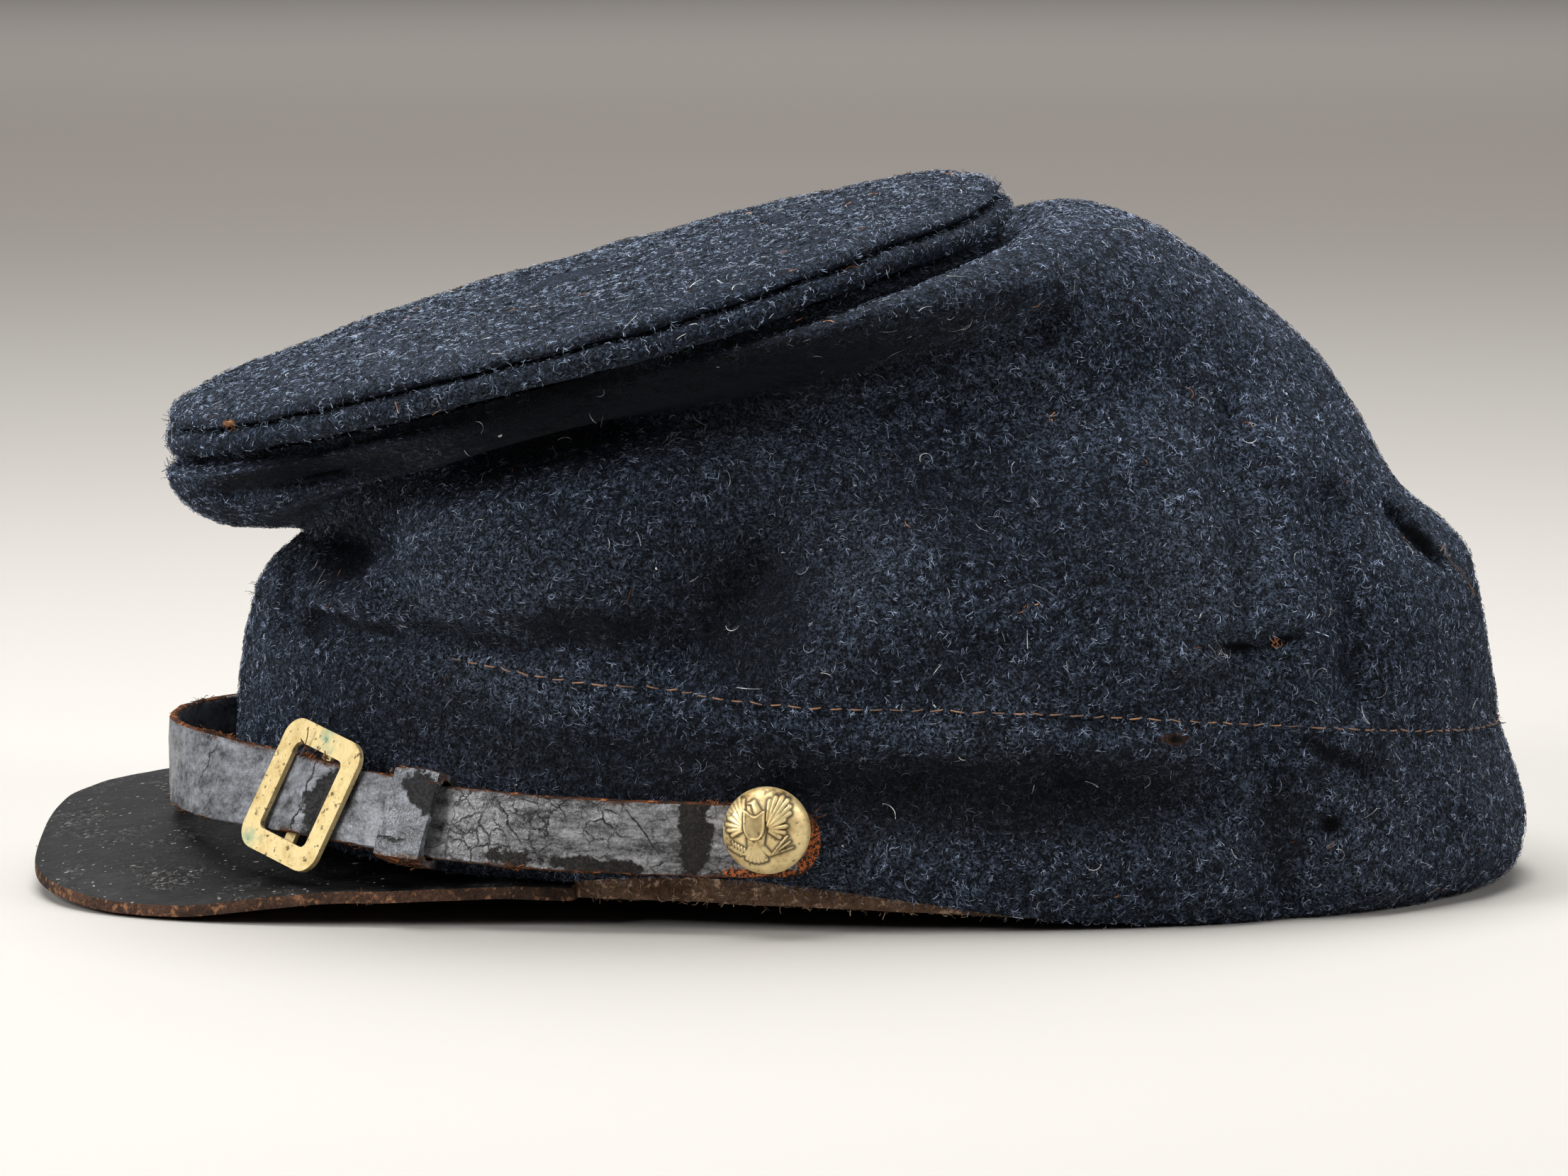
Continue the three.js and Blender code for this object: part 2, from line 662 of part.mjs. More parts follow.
// Outer strap: from the right button round the front, through the buckle, to its end in the keeper
const buckleRise = strapThickness; // of the strap where it goes over the buckle's bar
const buckleReach = buckleLength / 2 - buckleSide - 1;
const outerDepth = (distance) => {
  const away = Math.min(1, Math.abs(distance - buckleAt) / buckleReach);
  const clearAt = innerStrapEnd - innerStrapWidth / 2; // it has stepped out before the inner one starts
  const overInner = (strapThickness + seamGap) * smooth(distance, clearAt - doubling, clearAt);
  return overInner + buckleRise * Math.cos((away * Math.PI) / 2) ** 2;
};
const outerWidth = (distance) => {
  const narrowed = smooth(distance, innerStrapEnd, keeperAt);
  return lerp(tailWidth(distance, outerStrapWidth), innerStrapWidth + seamGap, narrowed);
};
add(
  "strap_outer",
  cut(
    strap(
      [
        ...tailDistances.map((distance) => -distance).reverse(),
        ...spaced(-buttonAt, buckleAt - buckleReach, 46),
        ...spaced(buckleAt - buckleReach, buckleAt + buckleReach, 8).slice(1),
        ...spaced(buckleAt + buckleReach, keeperAt + keeperWidth / 4, 5).slice(1),
      ],
      outerWidth,
      outerDepth,
    ),
    [shankHole(rightPlace)],
  ),
  blackLeather,
);

// Band, with holes for the shanks
const bandWall = wall(bandSurface, 0, clothThickness, bandSteps, levelAxes);
add("band", cut(bandWall, [shankHole(leftPlace), shankHole(rightPlace)]), wool);

// Keeper: a loop of leather round both straps
const rectangle = (path, width, low, high) => {
  path.moveTo(-width / 2, low);
  path.lineTo(width / 2, low);
  path.lineTo(width / 2, high);
  path.lineTo(-width / 2, high);
  path.closePath();
  return path;
};
const strapStack = 2 * strapThickness + seamGap;
const keeperShape = rectangle(
  new THREE.Shape(),
  keeperInside + 2 * keeperThickness,
  -seamGap - keeperThickness,
  strapStack + looseGap + keeperThickness,
);
keeperShape.holes.push(rectangle(new THREE.Path(), keeperInside, -seamGap, strapStack + looseGap));
const keeperGeometry = new THREE.ExtrudeGeometry(keeperShape, { depth: keeperWidth, bevelEnabled: false })
  .translate(0, 0, -keeperWidth / 2)
  .applyMatrix4(
    new THREE.Matrix4().makeBasis(
      new THREE.Vector3(0, 1, 0),
      new THREE.Vector3(0, 0, 1),
      new THREE.Vector3(1, 0, 0),
    ),
  );
add("keeper", onPlace(keeperGeometry, strapPlace(keeperAt), 0, 0), blackLeather);

// Buckle: a flat frame with rounded corners, and a bar across its back that the outer strap goes over
function roundedRectangle(path, width, height, radius) {
  const [x, y] = [width / 2, height / 2];
  path.moveTo(radius - x, -y);
  path.lineTo(x - radius, -y);
  path.absarc(x - radius, radius - y, radius, -Math.PI / 2, 0);
  path.lineTo(x, y - radius);
  path.absarc(x - radius, y - radius, radius, 0, Math.PI / 2);
  path.lineTo(radius - x, y);
  path.absarc(radius - x, y - radius, radius, Math.PI / 2, Math.PI);
  path.lineTo(-x, radius - y);
  path.absarc(radius - x, radius - y, radius, Math.PI, Math.PI * 1.5);
  path.closePath();
  return path;
}
const frameShape = roundedRectangle(new THREE.Shape(), buckleLength, buckleHeight, buckleCorner);
const windowLength = buckleLength - 2 * buckleSide;
const windowHeight = buckleHeight - 2 * buckleEnd;
frameShape.holes.push(roundedRectangle(new THREE.Path(), windowLength, windowHeight, buckleCorner / 3));
const buckleFrame = new THREE.ExtrudeGeometry(frameShape, {
  depth: buckleThickness,
  bevelEnabled: false,
  curveSegments: 5,
});
const barBack = -(strapThickness + looseGap / 2);
const box = (length, height, low, high, y) =>
  new THREE.BoxGeometry(length, height, high - low).translate(0, y, (low + high) / 2);
const barGeometry = box(buckleSide, buckleHeight - buckleEnd, barBack, barBack + 0.8, 0);
const barEnds = [-1, 1].map((side) =>
  box(buckleSide, buckleEnd - 0.8, barBack, buckleThickness / 2, (side * (buckleHeight - buckleEnd)) / 2),
);
const buckle = join([buckleFrame, barGeometry, ...barEnds]).rotateZ(radians(-buckleTilt));
add("buckle", onPlace(buckle, strapPlace(buckleAt), 0, strapStack + seamGap), brass);

export default cap;
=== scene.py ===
import math
import random

import bmesh
import bpy
import numpy as np
from mathutils import Matrix, Vector, noise
from mathutils.bvhtree import BVHTree
from mathutils.kdtree import KDTree


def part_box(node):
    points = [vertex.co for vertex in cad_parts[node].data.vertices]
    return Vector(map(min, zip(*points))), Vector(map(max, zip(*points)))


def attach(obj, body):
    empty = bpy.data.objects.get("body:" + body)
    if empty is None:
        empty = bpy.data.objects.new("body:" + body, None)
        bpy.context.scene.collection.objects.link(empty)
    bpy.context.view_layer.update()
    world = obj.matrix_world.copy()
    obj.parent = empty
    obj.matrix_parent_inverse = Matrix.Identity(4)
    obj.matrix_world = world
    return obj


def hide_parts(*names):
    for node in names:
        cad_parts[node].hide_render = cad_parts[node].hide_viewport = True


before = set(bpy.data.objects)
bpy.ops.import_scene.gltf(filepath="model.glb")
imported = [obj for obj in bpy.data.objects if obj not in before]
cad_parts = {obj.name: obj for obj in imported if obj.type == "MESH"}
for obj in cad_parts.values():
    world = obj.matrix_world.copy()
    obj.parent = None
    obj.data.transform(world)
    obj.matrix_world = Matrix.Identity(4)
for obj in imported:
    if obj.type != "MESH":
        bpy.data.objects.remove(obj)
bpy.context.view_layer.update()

# Stage and camera
# The cap stands on a sweep of pale paper, greyed behind it by painted shade.
# It is seen from its left side and a little above, through a long lens.


def add_object(name, data):
    """Adds a mesh, curve, light or camera to the scene as an object."""
    made = bpy.data.objects.new(name, data)
    bpy.context.scene.collection.objects.link(made)
    return made


camera_distance = 1.3
camera_pitch = math.radians(6.5)
camera_target = Vector((-0.0001, 0, 0.0488))
eye = bpy.data.cameras.new("eye")
eye.lens = 174.2
eye.sensor_width = 36
eye.clip_start = 0.05
eye.clip_end = 40
camera = add_object("camera", eye)
camera.rotation_euler = (math.pi / 2 - camera_pitch, 0, 0)
backwards = Vector((0, -math.cos(camera_pitch), math.sin(camera_pitch)))
camera.location = camera_target + camera_distance * backwards
bpy.context.scene.camera = camera


def linear(code):
    """A colour's sRGB hex code as linear red, green, blue and full cover."""
    channels = [int(code[i : i + 2], 16) / 255 for i in (1, 3, 5)]
    return [c / 12.92 if c <= 0.04045 else ((c + 0.055) / 1.055) ** 2.4 for c in channels] + [1]


def add_node(tree, kind, inputs=None, output=0, **settings):
    """Adds a shader node with its settings, each input a value or another node's socket, and
    gives back the socket of one of its outputs. A mix of colours takes its share at 0 and its
    colours at 6 and 7, and gives the mixed colour at 2. A mix of values takes them at 2 and 3."""
    made = tree.nodes.new("ShaderNode" + kind)
    for name, value in settings.items():
        setattr(made, name, value)
    for name, value in (inputs or {}).items():
        if isinstance(value, bpy.types.NodeSocket):
            tree.links.new(value, made.inputs[name])
        else:
            made.inputs[name].default_value = value
    return made.outputs[output] if made.outputs else made


def new_material(name):
    """An empty node material and its tree."""
    made = bpy.data.materials.new(name)
    made.use_nodes = True
    made.node_tree.nodes.clear()
    return made, made.node_tree


# Background paper: matt. Its colour carries painted light and shade: pale near the cap, darker behind it and
# paler again far behind.
paper, tree = new_material("seamless_paper")
place = add_node(tree, "TexCoord", output="Object")
depth = add_node(tree, "SeparateXYZ", {"Vector": place}, "Y")
paper_light_and_shade = linear("#b0ada8")
# Each step of painted light and shade begins and is full at these distances behind the cap, in metres
for near, far, code in [(0.05, 0.9, "#a5a19c"), (0.8, 1.9, "#9c9590"), (2.2, 4.2, "#cdc6c0")]:
    share = add_node(
        tree,
        "MapRange",
        {"Value": depth, "From Min": near, "From Max": far},
        interpolation_type="SMOOTHSTEP",
    )
    paper_light_and_shade = add_node(tree, "Mix", {0: share, 6: paper_light_and_shade, 7: linear(code)}, 2, data_type="RGBA")
shader = add_node(tree, "BsdfPrincipled", {"Base Color": paper_light_and_shade, "Roughness": 0.9, "Specular IOR Level": 0.1})
add_node(tree, "OutputMaterial", {"Surface": shader})
sweep = bmesh.new()
bmesh.ops.create_grid(sweep, x_segments=1, y_segments=1, size=9)
floor_mesh = bpy.data.meshes.new("floor")
sweep.to_mesh(floor_mesh)
sweep.free()
floor_mesh.materials.append(paper)
floor = add_object("floor", floor_mesh)

# Soft boxes: a wide one overhead, a smaller one in front at each side, and one that lights the
# paper behind. The room itself gives a little even light.
for name, place, aim, width, height, power in [
    ("overhead_box", (-0.1, 0.1, 1.15), (0, 0, 0.05), 1.2, 0.8, 26),
    ("left_box", (-1.1, -0.7, 0.75), (0, 0, 0.05), 0.5, 0.6, 16),
    ("right_box", (1.2, -0.5, 0.75), (0, 0, 0.05), 0.4, 0.7, 8),
    ("paper_box", (0, 2.4, 2.2), (0, 2.0, 0), 3.4, 1.6, 55),
]:
    lamp = bpy.data.lights.new(name, "AREA")
    lamp.shape = "RECTANGLE"
    lamp.size = width
    lamp.size_y = height
    lamp.energy = power
    stand = add_object(name, lamp)
    stand.location = place
    stand.rotation_euler = (Vector(aim) - Vector(place)).to_track_quat("-Z", "Y").to_euler()
room = bpy.data.worlds.new("room")
room.use_nodes = True
room.node_tree.nodes["Background"].inputs["Color"].default_value = linear("#f3f1ee")
room.node_tree.nodes["Background"].inputs["Strength"].default_value = 0.06
bpy.context.scene.world = room
bpy.context.scene.view_settings.view_transform = "Standard"

# Sweatband
# A strip of thin brown leather sewn in behind the hem. Its raw lower edge shows along each side
# of the cap, dry and furry.


def brown_leather(name, dark, pale, bright):
    """Vegetable tanned leather with its glaze worn off: a dry, matt nap of fibres a third of a
    millimetre across, mottled by handling, with flecks of dust and of redder fibres."""
    made, tree = new_material(name)
    place = add_node(tree, "TexCoord", output="Object")
    stains = add_node(tree, "TexNoise", {"Vector": place, "Scale": 120, "Detail": 4, "Roughness": 0.6})
    nap = add_node(tree, "TexNoise", {"Vector": place, "Scale": 1300, "Detail": 3, "Roughness": 0.75})
    fleck = add_node(tree, "TexNoise", {"Vector": place, "Scale": 750, "Detail": 2, "Roughness": 0.6})
    blotch = add_node(tree, "MapRange", {"Value": stains, "From Min": 0.36, "From Max": 0.62})
    tuft = add_node(tree, "MapRange", {"Value": nap, "From Min": 0.42, "From Max": 0.7})
    speck = add_node(tree, "MapRange", {"Value": fleck, "From Min": 0.56, "From Max": 0.68})
    colour = add_node(tree, "Mix", {0: blotch, 6: linear(dark), 7: linear(pale)}, 2, data_type="RGBA")
    deep = add_node(tree, "Mix", {0: 0.55, 6: colour, 7: linear("#1a120d")}, 2, data_type="RGBA")
    colour = add_node(tree, "Mix", {0: tuft, 6: deep, 7: colour}, 2, data_type="RGBA")
    colour = add_node(tree, "Mix", {0: speck, 6: colour, 7: linear(bright)}, 2, data_type="RGBA")
    bump = add_node(tree, "Bump", {"Height": nap, "Strength": 0.9, "Distance": 0.0006})
    finish = {"Base Color": colour, "Roughness": 0.92, "Specular IOR Level": 0.2, "Normal": bump}
    add_node(tree, "OutputMaterial", {"Surface": add_node(tree, "BsdfPrincipled", finish)})
    return made


def cad_shape(node):
    """A CAD node's mesh as one closed shape, with its triangles joined to four-sided faces."""
    shape = bmesh.new()
    shape.from_mesh(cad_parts[node].data)
    bmesh.ops.remove_doubles(shape, verts=shape.verts[:], dist=1e-6)
    joined = math.radians(70)
    bmesh.ops.join_triangles(
        shape, faces=shape.faces[:], angle_face_threshold=joined, angle_shape_threshold=joined
    )
    return shape


def smoothed(shape, hardness, angle=50):
    """The shape after two levels of subdivision. Where its faces meet at more than an angle in
    degrees, the corner is kept hard to a share of 1."""
    levels = 2
    crease = shape.edges.layers.float.new("crease_edge")
    for edge in shape.edges:
        if edge.calc_face_angle(0) > math.radians(angle):
            edge[crease] = hardness
    mesh = bpy.data.meshes.new("coarse")
    shape.to_mesh(mesh)
    shape.free()
    coarse = add_object("coarse", mesh)
    rounding = coarse.modifiers.new("rounding", "SUBSURF")
    rounding.levels = levels
    rounding.render_levels = levels
    seen = coarse.evaluated_get(bpy.context.evaluated_depsgraph_get())
    finished = bpy.data.meshes.new_from_object(seen)
    bpy.data.objects.remove(coarse)
    fine = bmesh.new()
    fine.from_mesh(finished)
    return fine


def bumps(place, per_metre, octaves):
    """Soft random bumps from -1 to 1, so many to a metre, with finer ones in each octave."""
    return noise.fractal(place * per_metre, 1, 2, octaves)


def add_piece(name, mesh, nodes=()):
    """Adds a finished mesh as a piece of the cap, in place of its CAD nodes if it has any."""
    piece = add_object(name, mesh)
    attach(piece, "root")
    if nodes:
        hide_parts(*nodes)
    return piece


def place_piece(shape, name, materials, nodes):
    """Makes a shape a piece of the cap, shaded softly except at its corners."""
    mesh = bpy.data.meshes.new(name)
    for face in shape.faces:
        face.smooth = True
    for edge in shape.edges:
        edge.smooth = edge.calc_face_angle(0) < math.radians(50)
    shape.to_mesh(mesh)
    shape.free()
    for material in materials:
        mesh.materials.append(material)
    return add_piece(name, mesh, nodes)


floor_gap = 0.0002  # leather keeps this far above the floor
frayed_out = 0.0005
frayed_down = 0.0007
sweatband_leather = brown_leather("sweatband_sheepskin", "#6b4f40", "#a5836b", "#cfae93")
sweatband_shape = smoothed(cad_shape("sweatband"), 0.7)
for corner in sweatband_shape.verts:
    frayed = bumps(corner.co, 160, 3)
    corner.co += corner.normal * frayed_out * frayed
    corner.co.z = max(floor_gap, corner.co.z + frayed_down * frayed)
sweatband = place_piece(
    sweatband_shape, "sweatband_leather", [sweatband_leather], ["sweatband"]
)

# Peak
# A shaped flap of thick harness leather, blacked and glazed on top, sewn under the hem.
# Its glaze is rubbed dull and dusty, and its cut edge has worn back to brown.
# The glaze is near black with a soft, broken shine. Streaks a centimetre long and a millimetre wide
# run along it, with scuffs and dull places of two to four centimetres, and grit and dust of a
# millimetre, which is coarser than it is, so that it shows.
peak_black, tree = new_material("peak_glazed_leather")
place = add_node(tree, "TexCoord", output="Object")
brushed = add_node(tree, "Mapping", {"Vector": place, "Rotation": (0, 0, 0.25), "Scale": (90, 900, 900)})
streaks = add_node(tree, "TexNoise", {"Vector": brushed, "Scale": 1, "Detail": 4, "Roughness": 0.7})
scuffs = add_node(tree, "TexNoise", {"Vector": place, "Scale": 60, "Detail": 5, "Roughness": 0.65})
grit = add_node(tree, "TexNoise", {"Vector": place, "Scale": 1100, "Detail": 3, "Roughness": 0.75})
specks = add_node(tree, "TexNoise", {"Vector": place, "Scale": 900, "Detail": 1})
dulled = add_node(tree, "TexNoise", {"Vector": place, "Scale": 28, "Detail": 3})
streaked = add_node(tree, "Math", {0: dulled, 1: 0.9, 2: streaks}, operation="MULTIPLY_ADD")
rubbed = add_node(tree, "MapRange", {"Value": streaked, "From Min": 0.84, "From Max": 1.2})
worn = add_node(tree, "MapRange", {"Value": scuffs, "From Min": 0.5, "From Max": 0.66})
loose = add_node(tree, "MapRange", {"Value": grit, "From Min": 0.5, "From Max": 0.66})
dusty = add_node(tree, "Math", {0: worn, 1: loose}, operation="MULTIPLY")
dot = add_node(tree, "MapRange", {"Value": specks, "From Min": 0.715, "From Max": 0.765, "To Max": 0.6})
colour = linear("#030304")
for share, code in [(rubbed, "#1c1c1e"), (dusty, "#6f6c69"), (dot, "#a8a49d")]:
    colour = add_node(tree, "Mix", {0: share, 6: colour, 7: linear(code)}, 2, data_type="RGBA")
shine = {"Value": scuffs, "From Min": 0.35, "From Max": 0.65, "To Min": 0.42, "To Max": 0.7}
gloss = add_node(tree, "MapRange", shine)
furrow = add_node(tree, "Bump", {"Height": streaks, "Strength": 0.4, "Distance": 0.0005})
rough = add_node(tree, "Bump", {"Height": grit, "Strength": 0.4, "Distance": 0.0004, "Normal": furrow})
finish = {"Base Color": colour, "Roughness": gloss, "Specular IOR Level": 0.13, "Normal": rough}
add_node(tree, "OutputMaterial", {"Surface": add_node(tree, "BsdfPrincipled", finish)})
cut_edge = brown_leather("cut_leather_edge", "#332822", "#694c3d", "#8d6549")
peak_shape = smoothed(cad_shape("peak"), 0.8, angle=40)
peak_shape.normal_update()
glazed = 0.55  # a face that looks up more than this is glazed, the others are its cut edge
for face in peak_shape.faces:
    face.material_index = 0 if face.normal.z > glazed else 1
for corner in peak_shape.verts:
    corner.co.z = max(floor_gap, corner.co.z + 0.0004 * bumps(corner.co, 45, 3))
peak = place_piece(peak_shape, "peak_leather", [peak_black, cut_edge], ["peak"])

# Band and crown
# The band is a strip of wool cloth turned under at the hem, and the crown is gathered up from it
# to the round top. The crown is too tall to stand, so it slumps forward in a soft roll under the
# top. The cloth is fulled and napped, so no weave shows, only short tangled fibres.


def strayed(tree, place, stray, pattern):
    """A place shaken by a pattern of noise, by up to half the stray either way, in metres."""
    shake = add_node(tree, "TexNoise", {"Vector": place, **pattern}, "Color")
    return add_node(tree, "Mix", {0: stray, 6: place, 7: shake}, 2, data_type="RGBA", blend_type="ADD")


def patch_reach(tree, place, stray, centre, half, slant):
    """How far a strayed place is from the middle of an oval patch, where 1 is the patch's edge.
    The patch is its centre, half its size and its slant, in millimetres and degrees."""
    sockets = {
        "Vector": place,
        "Location": 0.001 * Vector(centre) + Vector([stray / 2] * 3),
        "Rotation": (0, math.radians(slant), 0),
        "Scale": 0.001 * Vector(half),
    }
    centred = add_node(tree, "Mapping", sockets, vector_type="TEXTURE")
    return add_node(tree, "VectorMath", {0: centred}, "Value", operation="LENGTH")


def with_torn_and_shaded_places(tree, place, cloth, torn_and_shaded_places):
    """The cloth's colour with ragged patches over it where it is torn, and with patches of painted
    shade in its creases, dents and hollows and under its roll, each with its colour and strength."""
    stray = 0.0024
    ragged = strayed(tree, place, stray, {"Scale": 420, "Detail": 3})
    for *patch, code, strength in torn_and_shaded_places:
        reach = patch_reach(tree, ragged, stray, *patch)
        patch_cover = add_node(
            tree,
            "MapRange",
            {"Value": reach, "From Min": 1.35, "From Max": 0.45, "To Max": strength},
            interpolation_type="SMOOTHSTEP",
        )
        cloth = add_node(tree, "Mix", {0: patch_cover, 6: cloth, 7: linear(code)}, 2, data_type="RGBA")
    return cloth


def napped_wool(name, dark, pale, dust, torn_and_shaded_places):
    """Indigo broadcloth: matt, with a tangled nap of fibres, drawn half a millimetre across, which
    is coarser than they are, so that they show. The nap lies in clumps of two millimetres and
    pills of five, fades over some centimetres, and has a sheen where it is seen edge on."""
    made, tree = new_material(name)
    place = add_node(tree, "TexCoord", output="Object")
    bent = strayed(tree, place, 0.0016, {"Scale": 420, "Detail": 2})
    nap = add_node(tree, "TexNoise", {"Vector": bent, "Scale": 1900, "Detail": 4, "Roughness": 0.85})
    clumps = add_node(tree, "TexNoise", {"Vector": bent, "Scale": 560, "Detail": 3, "Roughness": 0.7})
    pills = add_node(tree, "TexNoise", {"Vector": place, "Scale": 190, "Detail": 2, "Roughness": 0.5})
    wear = add_node(tree, "TexNoise", {"Vector": place, "Scale": 26, "Detail": 3})
    tip = add_node(tree, "MapRange", {"Value": nap, "From Min": 0.46, "From Max": 0.64})
    sunk = add_node(tree, "MapRange", {"Value": clumps, "From Min": 0.44, "From Max": 0.6, "To Max": 0.85})
    faded = add_node(tree, "MapRange", {"Value": wear, "From Min": 0.45, "From Max": 0.7, "To Max": 0.35})
    cloth = add_node(tree, "Mix", {0: tip, 6: linear(dark), 7: linear(pale)}, 2, data_type="RGBA")
    cloth = add_node(tree, "Mix", {0: sunk, 6: cloth, 7: linear(dark)}, 2, data_type="RGBA")
    dusted = add_node(tree, "Mix", {0: tip, 6: cloth, 7: linear(dust)}, 2, data_type="RGBA")
    cloth = add_node(tree, "Mix", {0: faded, 6: cloth, 7: dusted}, 2, data_type="RGBA")
    cloth = with_torn_and_shaded_places(tree, place, cloth, torn_and_shaded_places)
    raised = add_node(tree, "Bump", {"Height": pills, "Strength": 0.6, "Distance": 0.0022})
    tufted = add_node(tree, "Bump", {"Height": clumps, "Strength": 0.9, "Distance": 0.0011, "Normal": raised})
    fuzzy = add_node(tree, "Bump", {"Height": nap, "Strength": 1.0, "Distance": 0.0009, "Normal": tufted})
    finish = {"Base Color": cloth, "Roughness": 0.95, "Specular IOR Level": 0.12, "Normal": fuzzy}
    sheen = {"Sheen Weight": 0.1, "Sheen Roughness": 0.4, "Sheen Tint": linear("#8fa0bd")}
    add_node(tree, "OutputMaterial", {"Surface": add_node(tree, "BsdfPrincipled", {**finish, **sheen})})
    return made


# The head's oval, from the band's box, with half its length and width, and how high the seam
# runs round it
low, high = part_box("band")
head_middle = (low.x + high.x) / 2
head_length = (high.x - low.x) / 2
head_width = (high.y - low.y) / 2
seam_side, seam_front, seam_back, seam_bend = 0.0367, 0.0490, 0.0263, 1.6


def outward_at(place):
    """The level direction out of the head's oval at a place."""
    return Vector(((place.x - head_middle) / head_length**2, place.y / head_width**2, 0)).normalized()


def seam_height(ahead):
    """How high the seam runs, by how far round the head: -1 in front, 0 at a side, 1 behind."""
    rise = (seam_front - seam_side) * max(0, -ahead) ** seam_bend
    return seam_side + rise + (seam_back - seam_side) * max(0, ahead) ** seam_bend


def on_cloth(trees, x, z, side):
    """The outermost place on the cloth seen straight from one side at x and z in millimetres, or
    past its outline the place nearest to the cap's side."""
    well_outside, cap_side = 0.2, 0.07
    start = Vector((0.001 * x, well_outside * side, 0.001 * z))
    hits = [tree.ray_cast(start, Vector((0, -side, 0)))[0] for tree in trees]
    hits = [hit for hit in hits if hit]
    if not hits:
        hits = [tree.find_nearest(Vector((start.x, cap_side * side, start.z)))[0] for tree in trees]
    return max(hits, key=lambda hit: hit.y * side)


def bend_along(trees, side, route, width, push):
    """A bend's places on the cloth, its width and its push, from millimetres."""
    return [np.array(on_cloth(trees, x, z, side)) for x, z in route], 0.001 * width, 0.001 * push


def folded(shape, bends):
    """Pushes the cloth out or in along each bend, which is its places, its width and its push."""
    corners = np.array([corner.co for corner in shape.verts])
    moved = np.zeros(len(corners))
    for places, width, push in bends:
        reach = np.full(len(corners), 1.0)
        for start, end in zip(places, places[1:]):
            run = end - start
            share = np.clip((corners - start) @ run / (run @ run), 0, 1)
            apart = np.linalg.norm(corners - start - share[:, None] * run, axis=1)
            reach = np.minimum(reach, apart)
        moved += push * np.exp(-((reach / width) ** 2))
    for corner, push in zip(shape.verts, moved):
        corner.co += float(push) * outward_at(corner.co)


